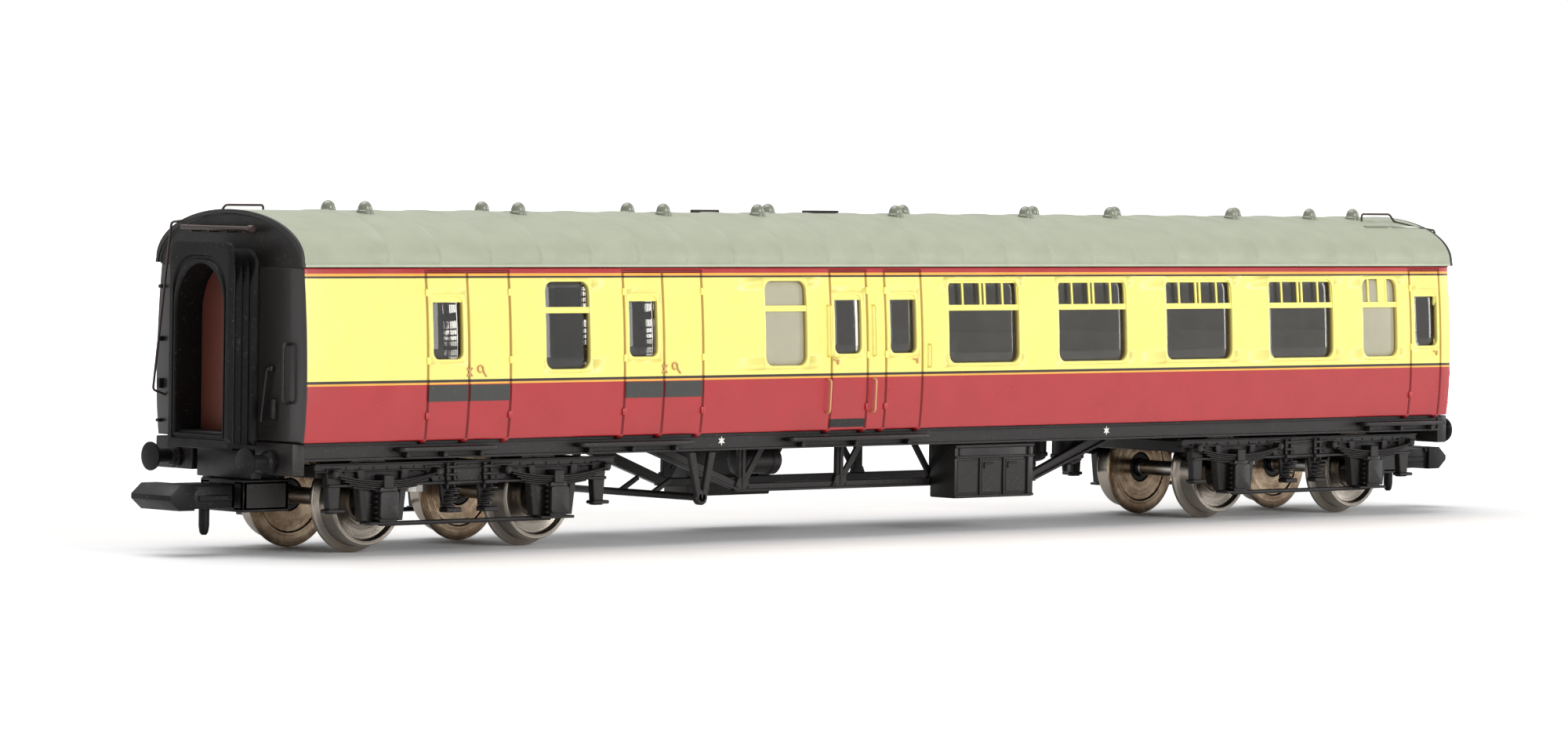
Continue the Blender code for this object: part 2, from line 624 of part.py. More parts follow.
def make_buffers(finish):
    """Four fixed buffers, each a turned piece on the headstock."""
    seat = BODY_LENGTH / 2 + HEADSTOCK_PROUD + FIT
    face = BODY_LENGTH / 2 + BUFFER_REACH
    profile = [(0.0, seat), (BUFFER_BASE_R, seat), (BUFFER_BASE_R, seat + 0.5),
               (BUFFER_SHANK_R, seat + 0.7), (BUFFER_SHANK_R, face - 0.45),
               (BUFFER_HEAD_R, face - 0.3), (BUFFER_HEAD_R, face - 0.1),
               (BUFFER_HEAD_R * 0.5, face), (0.0, face)]
    names = (("van_end_near", -1, -1), ("van_end_far", -1, 1),
             ("passenger_end_near", 1, -1), ("passenger_end_far", 1, 1))
    for name, end, side in names:
        shape = turned([(r, end * x) for r, x in profile], 16, "X")
        placed(f"buffer_{name}", shape, finish, (0.0, side * BUFFER_Y, BUFFER_Z), smooth=True)


def wire(name, points, finish):
    """A bent wire through the points, in millimetres, with closed ends."""
    data = bpy.data.curves.new(name, "CURVE")
    data.dimensions = "3D"
    data.bevel_depth = WIRE_R * MM
    data.bevel_resolution = WIRE_SIDES
    data.use_fill_caps = True
    spline = data.splines.new("POLY")
    spline.points.add(len(points) - 1)
    for slot, point in zip(spline.points, points):
        slot.co = (point[0] * MM, point[1] * MM, point[2] * MM, 1.0)
    data.materials.append(finish)
    made = bpy.data.objects.new(name, data)
    bpy.context.collection.objects.link(made)


def bent(points, radius, steps=3):
    """A path with each inner corner rounded off by a short curve."""
    path = [Vector(points[0])]
    for before, corner, after in zip(points, points[1:], points[2:]):
        corner = Vector(corner)
        start = corner + (Vector(before) - corner).normalized() * radius
        end = corner + (Vector(after) - corner).normalized() * radius
        for k in range(steps + 1):
            t = k / steps
            path.append(start * (1 - t) ** 2 + corner * 2 * t * (1 - t) + end * t ** 2)
    return path + [Vector(points[-1])]


def make_handrails(finish):
    """At each end a long wire over the roof and down one corner, and a short grab handle."""
    wall = BODY_LENGTH / 2
    proud = RAIL_PROUD
    on_roof = 3.7
    dip = on_roof + 0.7
    over = on_roof + 2.1
    stand = FIT + WIRE_R
    far_x = wall + ROOF_OVERHANG + proud
    for name, end in (("van_end", -1), ("passenger_end", 1)):
        side = -end
        line = [(wall - 6.0, on_roof, roof_z(on_roof) + stand),
                (wall - 6.0, on_roof, roof_z(on_roof) + proud),
                (wall - 2.3, on_roof, roof_z(on_roof) + proud),
                (wall - 1.5, dip, roof_z(dip) + 0.3),
                (far_x, over, roof_z(over) + 0.2),
                (far_x, 8.2, FOOT_Z + 3.4),
                (wall + stand, 8.0, FOOT_Z + 3.1)]
        path = bent([(end * x, side * y, z) for x, y, z in line], 0.55)
        wire(f"roof_handrail_{name}", path, finish)
        low, high = FOOT_Z + 3.1, FOOT_Z + 7.5
        grip = [(wall + stand, 7.5, high), (wall + proud, 7.5, high), (wall + proud, 7.5, low),
                (wall + stand, 7.5, low)]
        path = bent([(end * x, -side * y, z) for x, y, z in grip], 0.35)
        wire(f"grab_handle_{name}", path, finish)


# --- bogies -----------------------------------------------------------------------------
def side_frame_parts(side):
    """The shapes of one bogie side: rails, springs, axleboxes, hangers and tie bar."""
    def across(low, high):
        return sorted((side * low, side * high))

    plate = across(FRAME_Y, FRAME_Y + FRAME_THICK)
    parts = []
    web = [(-4.6, FRAME_HEAD - BITE), (-3.4, BOLSTER_FOOT + 0.15), (3.4, BOLSTER_FOOT + 0.15), (4.6, FRAME_HEAD - BITE)]
    parts.append(prism(web, plate[0] + 0.05, plate[1] - 0.05))
    for axle in (-AXLE_HALF, AXLE_HALF):
        horn = [(axle - 3.6, FRAME_HEAD - BITE), (axle - AXLEBOX_HALF, AXLEBOX_FOOT + 0.6),
                (axle + AXLEBOX_HALF, AXLEBOX_FOOT + 0.6), (axle + 3.6, FRAME_HEAD - BITE)]
        parts.append(prism(horn, plate[0] + 0.1, plate[1] - 0.1))
        sag = [(axle + SPRING_HALF * t, SPRING_EYE_Z - 0.75 * (1 - t * t)) for t in (-1, -.6, -.2, .2, .6, 1)]
        leaf = sag + [(x, z - 0.7 + 0.35 * abs((x - axle) / SPRING_HALF)) for x, z in sag[::-1]]
        parts.append(prism(leaf, *across(FRAME_Y + 0.3, SPRING_OUT)))
        box = [(axle - AXLEBOX_HALF, AXLEBOX_FOOT), (axle + AXLEBOX_HALF, AXLEBOX_FOOT),
               (axle + AXLEBOX_HALF, AXLEBOX_HEAD), (axle + 0.5, AXLEBOX_HEAD + 0.5),
               (axle - 0.5, AXLEBOX_HEAD + 0.5), (axle - AXLEBOX_HALF, AXLEBOX_HEAD)]
        parts.append(prism(box, *across(FRAME_Y - 0.25, AXLEBOX_OUT)))
    parts.append(block((-AXLE_HALF, AXLE_HALF), across(FRAME_Y + 0.25, FRAME_Y + 0.65),
                       (TIE_Z + 0.05, TIE_Z + TIE_THICK)))
    for x in (-1.9, 1.9):
        foot, head = HANGER_FOOT, SPRING_EYE_Z - 0.72
        hanger = [(x - 0.55, foot), (x + 0.55, foot), (x + 0.9, head), (x - 0.9, head)]
        parts.append(prism(hanger, *across(FRAME_Y + 0.2, SPRING_OUT - 0.1)))
    for x in (-AXLE_HALF - 4.85, AXLE_HALF + 4.85):
        foot, head = HANGER_FOOT, FRAME_HEAD - 0.4
        step = [(x - 0.5, foot), (x + 0.5, foot), (x + 0.8, head), (x - 0.8, head)]
        parts.append(prism(step, *across(FRAME_Y + 0.15, FRAME_Y + FRAME_THICK + 0.2)))
    return parts


def make_bogie_frame(name, centre, end, finish, parent):
    """One bogie moulding, with its coupler pocket at the outer end (end is -1 or 1)."""
    rail = block((-FRAME_END, FRAME_END), (FRAME_Y, FRAME_Y + FRAME_THICK),
                 (FRAME_HEAD - FRAME_RAIL, FRAME_HEAD))
    frame = placed(name, rail, finish, parent=parent)
    parts = [block((-FRAME_END, FRAME_END), (-FRAME_Y - FRAME_THICK, -FRAME_Y),
                   (FRAME_HEAD - FRAME_RAIL, FRAME_HEAD))]
    wide = FRAME_Y + 0.3
    parts.append(block((-BOLSTER_HALF, BOLSTER_HALF), (-wide, wide), (BOLSTER_FOOT, BOLSTER_HEAD - 0.1)))
    parts.append(rod(BEARING_R, BOLSTER_HEAD - 0.4, BOLSTER_HEAD, 16, "Z"))
    for x in (-1, 1):
        bar = sorted((x * END_BAR_IN, x * END_BAR_OUT))
        parts.append(block(bar, (-wide + 0.05, wide - 0.05), (END_BAR_FOOT, FRAME_HEAD - 0.15)))
    low = COUPLER_Z - TAIL_HEIGHT / 2 - POCKET_GAP
    high = POCKET_TOP - POCKET_WALL
    half = TAIL_HALF + 2 * POCKET_GAP
    near = END_BAR_IN + BITE
    box = sorted((end * near, end * POCKET_MOUTH))
    parts.append(block(box, (-half - POCKET_WALL, half + POCKET_WALL), (low - POCKET_WALL, POCKET_TOP)))
    riser = sorted((end * (near + BITE), end * (END_BAR_OUT - BITE)))
    parts.append(block(riser, (-half, half), (high, END_BAR_FOOT + BITE)))
    for side in (-1, 1):
        parts += side_frame_parts(side)
    worked(frame, parts, "UNION")
    hollow = sorted((end * (near + POCKET_WALL), end * (POCKET_MOUTH - POCKET_WALL)))
    mouth = sorted((end * (POCKET_MOUTH - 1.0), end * (POCKET_MOUTH + 1.0)))
    gap = SHANK_HALF + 2 * POCKET_GAP
    cuts = [block(hollow, (-half, half), (low, high)),
            block(mouth, (-gap, gap), (low + 0.02, high - 0.02)),
            rod(PIVOT_R + RUN / math.cos(math.pi / 16), BOLSTER_FOOT - 1, BOLSTER_HEAD + 1, 16, "Z")]
    slope = (JOURNAL_R - 0.04) / 0.8
    deep = AXLE_TIP_Y + SOCKET_PLAY
    for axle in (-AXLE_HALF, AXLE_HALF):
        for side in (-1, 1):
            wide_r = 0.12 + slope * (deep - FRAME_Y + 1.0) * 1.15
            cone = [(0.0, deep), (0.12, deep), (wide_r, FRAME_Y - 1.0), (0.0, FRAME_Y - 1.0)]
            hole = turned([(r, side * t) for r, t in cone], 12, "Y")
            cuts.append(shifted(hole, (axle, 0.0, AXLE_Z)))
    worked(frame, cuts, "DIFFERENCE")
    frame.location = (centre * MM, 0.0, 0.0)
    return frame


def make_wheelset(number, x, steel, nickel, plastic):
    """An axle with pointed ends, two wheels and the bush that insulates one of them."""
    pivot = bpy.data.objects.new(f"axle_line_{number}", None)
    bpy.context.collection.objects.link(pivot)
    pivot.location = (x * MM, 0.0, AXLE_Z * MM)
    bpy.context.view_layer.update()
    end = AXLE_TIP_Y
    shoulder = FRAME_Y - 0.35
    profile = [(0.0, -end), (0.04, -end), (JOURNAL_R, 0.8 - end), (JOURNAL_R, -shoulder + 0.2),
               (AXLE_R, 0.4 - shoulder)]
    mirror = [(r, -t) for r, t in profile[::-1]]
    placed(f"axle_{number}", turned(profile + mirror, 12), steel, parent=pivot, smooth=True)
    inner = BACK_TO_BACK / 2
    outer = inner + WHEEL_WIDTH
    for side, word in ((-1, "near"), (1, "far")):
        bore = AXLE_R + FIT
        if side > 0:
            bore = BUSH_R + FIT
        shape = [(bore, inner + 0.15), (TREAD_R - RIM - 0.3, inner + 0.15), (TREAD_R - RIM, inner),
                 (FLANGE_R - 0.25, inner), (FLANGE_R, inner + 0.12), (FLANGE_R, inner + 0.25),
                 (TREAD_R + 0.05, inner + FLANGE_THICK), (TREAD_R - 0.06, outer), (TREAD_R - RIM, outer),
                 (TREAD_R - RIM - 0.1, outer - 0.45), (BUSH_R + 0.55, outer - 0.45),
                 (BUSH_R + 0.45, outer - 0.05), (bore, outer - 0.05)]
        ring = turned([(r, side * t) for r, t in shape], WHEEL_SEGMENTS)
        placed(f"wheel_{number}_{word}", ring, nickel, parent=pivot, smooth=True)
    tube = [(AXLE_R + FIT, inner + 0.15), (BUSH_R, inner + 0.15), (BUSH_R, outer - 0.05),
            (AXLE_R + FIT, outer - 0.05)]
    placed(f"wheel_bush_{number}", turned(tube, 12), plastic, parent=pivot, smooth=True)


def make_coupler(name, centre, end, plastic, steel):
    """The lifting coupler, from its cross-shaped tail to the nose, and the coil behind it."""
    pivot = bpy.data.objects.new(f"{name}_line", None)
    bpy.context.collection.objects.link(pivot)
    pivot.location = ((centre + end * TAIL_X) * MM, 0.0, COUPLER_Z * MM)
    bpy.context.view_layer.update()

    def along(low, high):
        return sorted((end * (low - TAIL_X), end * (high - TAIL_X)))

    half = HEAD_HEIGHT / 2
    side_view = [(end * (x - TAIL_X), z) for x, z in
                 ((HEAD_BACK, -half), (COUPLER_NOSE - 0.9, -half), (COUPLER_NOSE, -NOSE_FLAT / 2),
                  (COUPLER_NOSE, NOSE_FLAT / 2), (COUPLER_NOSE - 0.9, half), (HEAD_BACK, half))]
    coupler = placed(name, prism(side_view, -HEAD_HALF, HEAD_HALF), plastic, parent=pivot)
    thick = SHANK_THICK / 2
    parts = [block(along(BODY_BACK, HEAD_BACK + BITE), (-BODY_HALF, BODY_HALF), (0.1 - half, half - 0.1)),
             block(along(TAIL_X, BODY_BACK + BITE), (-SHANK_HALF, SHANK_HALF), (-thick, thick)),
             block(along(TAIL_X - TAIL_THICK / 2, TAIL_X + TAIL_THICK / 2), (-TAIL_HALF, TAIL_HALF),
                   (-TAIL_HEIGHT / 2, TAIL_HEIGHT / 2))]
    dropper = rod(DROPPER_R, DROPPER_FOOT - COUPLER_Z, 0.0, 10, "Z")
    parts.append(shifted(dropper, (end * (DROPPER_X - TAIL_X), 0.0, 0.0)))
    worked(coupler, parts, "UNION")
    start = END_BAR_IN + BITE + POCKET_WALL + FIT + SPRING_WIRE
    stop = TAIL_X - TAIL_THICK / 2 - SPRING_PLAY - SPRING_WIRE
    steps = 10 * SPRING_TURNS
    path = []
    for k in range(steps + 1):
        turn = 2 * math.pi * k / 10
        path.append((centre + end * (start + (stop - start) * k / steps),
                     SPRING_COIL_R * math.cos(turn), COUPLER_Z + SPRING_COIL_R * math.sin(turn)))
    wire(name.replace("coupler", "coupler_spring"), path, steel)
    coil = bpy.data.objects[name.replace("coupler", "coupler_spring")]
    coil.data.bevel_depth = SPRING_WIRE * MM
    coil.data.bevel_resolution = 1


def make_screw(name, centre, finish):
    """The screw on which a bogie turns, put in from below, with a slotted head."""
    head = BOLSTER_FOOT - FIT
    profile = [(0.0, head - SCREW_HEAD_THICK), (SCREW_HEAD_R, head - SCREW_HEAD_THICK),
               (SCREW_HEAD_R, head), (PIVOT_R, head), (PIVOT_R, FLOOR_HEAD), (0.0, FLOOR_HEAD)]
    screw = placed(name, turned(profile, 16, "Z"), finish, (centre, 0.0, 0.0), smooth=True)
    slot = block((-SCREW_HEAD_R - 1, SCREW_HEAD_R + 1), (-0.2, 0.2),
                 (head - SCREW_HEAD_THICK - 1, head - SCREW_HEAD_THICK + 0.3))
    worked(screw, [slot], "DIFFERENCE")


def main():
    """Clears the scene and makes every piece of the coach."""
    for old in list(bpy.data.objects):
        bpy.data.objects.remove(old)
    livery = material("crimson_and_cream", (0.46, 0.035, 0.045), 0.35)
    roofing = material("roof_grey", (0.24, 0.29, 0.23), 0.45)
    black = material("underframe_black", (0.045, 0.043, 0.044), 0.5)
    clear = material("clear_glazing", (0.8, 0.85, 0.85), 0.05, 0.0, 0.25)
    tan = material("seating_brown", (0.30, 0.19, 0.11), 0.6)
    brown = material("door_brown", (0.10, 0.03, 0.02), 0.4)
    steel = material("bright_steel", (0.55, 0.54, 0.52), 0.3, 1.0)
    nickel = material("wheel_nickel", (0.45, 0.42, 0.37), 0.35, 1.0)
    make_body(livery)
    make_roof(roofing)
    make_glazing(clear)
    make_interior(tan)
    make_ballast(steel)
    make_gangways(black, brown)
    make_underframe(black)
    make_trusses(black)
    make_brake_shaft(black)
    make_equipment(black, black)
    make_buffers(black)
    make_handrails(black)
    for number, end in ((1, -1), (2, 1)):
        centre = end * BOGIE_CENTRE
        make_bogie_frame(f"bogie_frame_{number}", centre, end, black, None)
        make_screw(f"pivot_screw_{number}", centre, steel)
        make_coupler(f"coupler_{number}", centre, end, black, steel)
        for k, axle in enumerate((-AXLE_HALF, AXLE_HALF)):
            make_wheelset(2 * number - 1 + k, centre + axle, steel, nickel, black)


main()
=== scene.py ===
"""Looks of a small-scale model passenger coach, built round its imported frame.

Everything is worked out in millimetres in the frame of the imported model: X along the coach,
-Y the compartment side, Z up from the wheel flanges. A mesh is turned into metres when it is made.
"""

import math

import bmesh
import bpy
import numpy as np
from bpy.props import FloatProperty, FloatVectorProperty, IntProperty, PointerProperty
from mathutils import Matrix, Vector


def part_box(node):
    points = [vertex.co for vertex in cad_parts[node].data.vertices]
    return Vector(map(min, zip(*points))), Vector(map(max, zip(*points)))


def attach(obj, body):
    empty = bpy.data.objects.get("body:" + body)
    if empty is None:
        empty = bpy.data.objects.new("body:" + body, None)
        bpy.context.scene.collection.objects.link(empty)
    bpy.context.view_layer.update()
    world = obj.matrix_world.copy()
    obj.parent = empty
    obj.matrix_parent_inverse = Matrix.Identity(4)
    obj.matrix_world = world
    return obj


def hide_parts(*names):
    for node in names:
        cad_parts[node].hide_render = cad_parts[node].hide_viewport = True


bl_info = {
    "name": "Model Passenger Coach",
    "version": (1, 0, 0),
    "blender": (4, 5, 0),
    "location": "View3D > Sidebar > Coach",
    "description": "Builds the finished pieces of a model passenger coach on its packed frame",
    "category": "Object",
}

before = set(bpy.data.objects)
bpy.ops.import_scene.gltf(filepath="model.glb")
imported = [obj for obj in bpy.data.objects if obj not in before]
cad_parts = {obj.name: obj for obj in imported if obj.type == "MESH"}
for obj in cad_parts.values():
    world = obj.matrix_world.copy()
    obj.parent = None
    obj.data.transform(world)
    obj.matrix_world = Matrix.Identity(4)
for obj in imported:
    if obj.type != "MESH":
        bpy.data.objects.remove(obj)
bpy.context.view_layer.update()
MM = 0.001


def node_box(name):
    """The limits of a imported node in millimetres, as two arrays."""
    low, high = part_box(name)
    return np.array(low) / MM, np.array(high) / MM


def node_reach(name, axis=0):
    """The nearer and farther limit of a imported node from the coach's middle along an axis."""
    low, high = node_box(name)
    return sorted((abs(low[axis]), abs(high[axis])))


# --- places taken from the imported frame, in millimetres --------------------------------
BODY_LOW, BODY_HIGH = node_box("body_shell")
ROOF_LOW, ROOF_HIGH = node_box("roof")
FLOOR_LOW, FLOOR_HIGH = node_box("underframe")
BOGIE_HIGH = node_box("bogie_frame_2")[1]
FRAME_Y = BOGIE_HIGH[1] - 1.8
WALL_X = BODY_HIGH[0]
FOOT_Z = BODY_LOW[2]
CANTRAIL_Z = BODY_HIGH[2]
WAIST_Z = FOOT_Z + 4.4
WAIST_HALF = BODY_HIGH[1]
FOOT_HALF = WAIST_HALF - 0.32
CANTRAIL_HALF = WAIST_HALF - 0.53
ROOF_X = ROOF_HIGH[0]
ROOF_REACH = ROOF_HIGH[1]
ROOF_FOOT = ROOF_LOW[2]
ROOF_RISE = 4.3
VENT_TOP = ROOF_HIGH[2] + 0.45
SOLEBAR_FOOT = node_box("brake_cross_shaft")[1][2] + 0.08
SOLEBAR_OUT = FOOT_HALF - 0.59
HEADSTOCK_X = FLOOR_HIGH[0]
FLOOR_FOOT = FOOT_Z - 0.15
FLOOR_HEAD = FLOOR_HIGH[2]
AXLE_BOXES = [node_box(f"axle_{k}") for k in (1, 2, 3, 4)]
AXLE_XS = [(low[0] + high[0]) / 2 for low, high in AXLE_BOXES]
AXLE_Z = (AXLE_BOXES[0][0][2] + AXLE_BOXES[0][1][2]) / 2
AXLE_TIP = AXLE_BOXES[0][1][1]
BOGIE_XS = ((AXLE_XS[0] + AXLE_XS[1]) / 2, (AXLE_XS[2] + AXLE_XS[3]) / 2)
AXLE_HALF = (AXLE_XS[1] - AXLE_XS[0]) / 2
WHEEL_BACK = 3.75
WHEEL_FACE = 5.85
COUPLER_Z = 4.55
SPRING_HALF = 5.2
ARCH_POINTS = 49
HANGER_X = 1.9
ENDS = (("van_end", -1, 1), ("passenger_end", 1, 2))
SIDES = (("compartment", -1), ("corridor", 1))

# --- openings: centre along the coach -----------------------------------------------------
COMPARTMENTS = (6.76, 19.9, 33.2, 46.35)
LUGGAGE_CLEAR = -39.75
LUGGAGE_OBSCURED = -16.07
TOILET = 56.8
NEAR_LIGHTS = (-52.15, -31.75, -9.1, -2.75, 63.0)
FAR_LIGHTS = (-38.95, -27.8, -18.2, -2.75, 63.0)
BARRED_LIGHTS = 3
WINDOW_Z = (FOOT_Z + 5.4, FOOT_Z + 12.3)
LIGHT_Z = (FOOT_Z + 6.3, FOOT_Z + 11.15)
WIDTHS = {"compartment": 8.3, "luggage": 4.6, "toilet": 4.55, "light": 3.0}
NEAR_DOORS = ((-54.25, -50.07), (-50.07, -45.8), (-33.81, -29.59), (-29.59, -25.34),
              (-11.03, -6.92), (-4.8, -0.59), (60.89, 64.91))
FAR_DOORS = ((-45.25, -41.05), (-41.05, -36.85), (-34.1, -29.9), (-29.9, -25.7),
             (-20.25, -16.15), (-4.8, -0.59), (60.89, 64.91))
DOUBLE_DOORS = {-1: (-50.07, -29.59), 1: (-41.05, -29.9)}
GUARD_DOORS = {-1: NEAR_DOORS[4], 1: FAR_DOORS[4]}
DOOR_TOP = 22.02
NEAR_VENTS = (-55.2, -39.4, -23.8, -13.3, 2.6, 18.2, 28.7, 44.2, 54.5, 60.3)
FAR_VENTS = (-54.7, -38.8, -23.1, -7.3, 8.5, 24.3, 34.6, 50.2)
RIB_START = -57.92
RIB_PITCH = 5.2
RIB_COUNT = 24

# --- the stage: the camera's turn in degrees and place in millimetres, the rest in metres ------
CAMERA_TURN = (-43.769, 1.348, 0.869)
CAMERA_AIM = (1.649, 0.0, 18.601)
CAMERA_AWAY = 544.67
CAMERA_LENS = 147.48
CAMERA_SHIFT = (-0.0514, -0.0442)
FLOOR_REACH = 3.0
LIGHTS = (("key", (0.08, -0.82, 0.26), (0, 0, 0.01), 4.55, 0.5, 0.5),
          ("top", (-0.1, 0.2, 0.8), (0, 0, 0.02), 6.6, 0.8, 0.8),
          ("side", (0.82, -0.37, 0.16), (0, 0, 0.02), 1.6, 0.14, 0.5))


def srgb(red, green, blue):
    """A screen colour, 0 to 255, as a linear one."""
    share = np.array((red, green, blue)) / 255.0
    low = share / 12.92
    high = ((share + 0.055) / 1.055) ** 2.4
    return tuple(np.where(share <= 0.04045, low, high).tolist())


# --- what a user would change -------------------------------------------------------------
def colour(title, text, value):
    return FloatVectorProperty(name=title, description=text, default=value, subtype="COLOR",
                               size=3, min=0.0, max=1.0)


def length(title, text, value):
    return FloatProperty(name=title, description=text, default=value * MM, unit="LENGTH",
                         min=0.0, soft_max=5 * MM, precision=5)


class CoachSizes(bpy.types.PropertyGroup):
    seam_width: length("Door seam width", "Width of the groove round a door", 0.15)
    seam_depth: length("Door seam depth", "Depth of the groove round a door", 0.12)
    skin: length("Wall thickness", "Thickness of the body's moulded wall", 0.6)
    pane_depth: length("Pane depth", "How far a pane lies behind the body's side", 0.26)
    rib_width: length("Roof rib width", "Width of a raised rib on the roof", 0.36)
    rib_height: length("Roof rib height", "Height of a raised rib on the roof", 0.13)
    edge: length("Edge radius", "Radius on the edges of moulded pieces", 0.1)
    wire: length("Wire radius", "Radius of the handrail wire", 0.1)
    vent_radius: length("Ventilator radius", "Radius of a roof ventilator at its foot", 0.68)
    wheel_steps: IntProperty(name="Wheel steps", description="Flats round a turned wheel",
                             default=72, min=16, max=160)


class CoachColours(bpy.types.PropertyGroup):
    crimson: colour("Crimson", "Lower panels and cantrail", srgb(164, 36, 41))
    cream: colour("Cream", "Upper panels", srgb(238, 226, 122))
    lining: colour("Lining", "Gold line", srgb(228, 166, 66))
    black_line: colour("Black line", "Thin line beside the gold", srgb(40, 28, 22))
    roof: colour("Roof", "Grey-green roof paint", srgb(156, 161, 141))
    black: colour("Black", "Underframe and ends", srgb(26, 23, 22))
    rubber: colour("Gangway", "Front of the gangways", srgb(15, 13, 13))
    door: colour("Corridor door", "Brown corridor doors", srgb(100, 54, 44))
    seat: colour("Seats", "Interior moulding", srgb(158, 150, 140))
    patch: colour("Grey patch", "Panels on the luggage doors", srgb(44, 45, 42))
    brass: colour("Brass", "Door handles and levers", srgb(206, 158, 104))
    nickel: colour("Nickel", "Wheels", srgb(150, 142, 132))
    frosted: colour("Frosted pane", "Obscured glass", srgb(184, 180, 156))


def sizes():
    return bpy.context.scene.coach_sizes


def colours():
    return bpy.context.scene.coach_colours


def mm(value):
    """A size property in millimetres."""
    return value / MM


# --- building meshes from arrays ------------------------------------------------------------
class Shape:
    """Surfaces gathered for one mesh: points in millimetres, quads, caps and one mark a point."""

    def __init__(self):
        self.points = []
        self.marks = []
        self.quads = []
        self.caps = []
        self.count = 0

    def add(self, points, quads, caps=(), marks=None):
        points = np.asarray(points, float).reshape(-1, 3)
        if marks is None:
            marks = np.zeros(len(points))
        self.points.append(points)
        self.marks.append(np.asarray(marks, float).ravel())
        self.quads.append(np.asarray(quads, int).reshape(-1, 4) + self.count)
        self.caps += [np.asarray(cap, int) + self.count for cap in caps]
        self.count += len(points)
        return self

    def join(self, *others):
        for other in others:
            points = np.concatenate(other.points)
            self.add(points, np.concatenate(other.quads), other.caps, np.concatenate(other.marks))
        return self

    def moved(self, offset):
        self.points = [points + np.asarray(offset, float) for points in self.points]
        return self


def grid(rows, columns, wrap_rows=False, wrap_columns=False):
    """Quads between the points of a grid, row by row, closed round on request."""
    index = np.arange(rows * columns).reshape(rows, columns)
    if wrap_rows:
        index = np.vstack([index, index[:1]])
    if wrap_columns:
        index = np.hstack([index, index[:, :1]])
    return np.stack([index[:-1, :-1], index[:-1, 1:], index[1:, 1:], index[1:, :-1]],
                    -1).reshape(-1, 4)


def end_caps(count, rows):
    """The first and last rows of a grid of points, as the two faces that close it."""
    return np.arange(count), np.arange(count) + count * (rows - 1)


def soft_boxes(limits, radius, fine=1):
    """Boxes with rounded edges. A point is the nearest corner of the box drawn in by the radius,
    plus the radius times a direction, for directions on a grid of latitude and longitude."""
    limits = np.sort(np.asarray(limits, float).reshape(-1, 3, 2), axis=2)
    middle = limits.mean(2)
    half = (limits[:, :, 1] - limits[:, :, 0]) / 2
    r = np.minimum(radius, half.min(1) * 0.96)[:, None]
    turn = np.linspace(0, math.pi / 2, fine + 1)
    lon = (np.arange(4)[:, None] * math.pi / 2 + turn).ravel()
    lat = np.concatenate([turn - math.pi / 2, turn])
    sign_x = np.repeat([1, -1, -1, 1], fine + 1)
    sign_y = np.repeat([1, 1, -1, -1], fine + 1)
    sign_z = np.repeat([-1, 1], fine + 1)
    rows, columns = len(lat), len(lon)
    ones = np.ones((rows, columns))
    way = np.stack([np.cos(lat)[:, None] * np.cos(lon), np.cos(lat)[:, None] * np.sin(lon),
                    np.sin(lat)[:, None] * ones], -1).reshape(-1, 3)
    sign = np.stack([sign_x * ones, sign_y * ones, sign_z[:, None] * ones], -1).reshape(-1, 3)
    points = middle[:, None] + sign * (half - r)[:, None] + r[:, None] * way
    quads = grid(rows, columns, wrap_columns=True)
    size = rows * columns
    offsets = np.arange(len(limits)) * size
    quads = (offsets[:, None, None] + quads).reshape(-1, 4)
    foot = np.arange(4) * (fine + 1)
    caps = np.concatenate([offsets[:, None] + foot, offsets[:, None] + foot + size - columns])
    return Shape().add(points, np.concatenate([quads, caps]))


def soft_box(x, y, z, radius=0.1, fine=1):
    """One box between limits on each axis."""
    return soft_boxes([(x, y, z)], radius, fine)


def anticlockwise(outline):
    """The outline turned so that its area is positive."""
    outline = np.asarray(outline, float)
    after = np.roll(outline, -1, 0)
    area = (outline[:, 0] * after[:, 1] - after[:, 0] * outline[:, 1]).sum()
    return outline if area > 0 else outline[::-1]


def drawn_in(outline, by):
    """A closed outline with each corner moved inwards along its bisector by a distance."""
    before = outline - np.roll(outline, 1, 0)
    after = np.roll(outline, -1, 0) - outline
    before = before / np.linalg.norm(before, axis=1)[:, None]
    after = after / np.linalg.norm(after, axis=1)[:, None]
    first = np.stack([before[:, 1], -before[:, 0]], 1)
    second = np.stack([after[:, 1], -after[:, 0]], 1)
    share = np.maximum(1 + (first * second).sum(1), 0.35)[:, None]
    return outline - by * (first + second) / share


PLACE = {"X": lambda a, b, t: np.stack([t, a, b], -1), "Y": lambda a, b, t: np.stack([a, t, b], -1),
         "Z": lambda a, b, t: np.stack([a, b, t], -1)}


def plate(outline, low, high, axis="Y", radius=0.08, fine=1):
    """A flat piece: the outline carried along an axis, drawn in at both faces along a quarter
    circle, with both faces closed."""
    outline = anticlockwise(outline)
    low, high = min(low, high), max(low, high)
    radius = min(radius, (high - low) * 0.45)
    turn = np.linspace(0, math.pi / 2, fine + 1)
    inward = np.concatenate([radius * (1 - np.sin(turn)), radius * (1 - np.cos(turn))])
    level = np.concatenate([low + radius * (1 - np.cos(turn)), high - radius * (1 - np.sin(turn))])
    rings = np.stack([drawn_in(outline, by) for by in inward])
    depth = np.repeat(level[:, None], len(outline), 1)
    points = PLACE[axis](rings[:, :, 0], rings[:, :, 1], depth)
    count = len(outline)
    return Shape().add(points, grid(len(level), count, wrap_columns=True),
                       end_caps(count, len(level)))


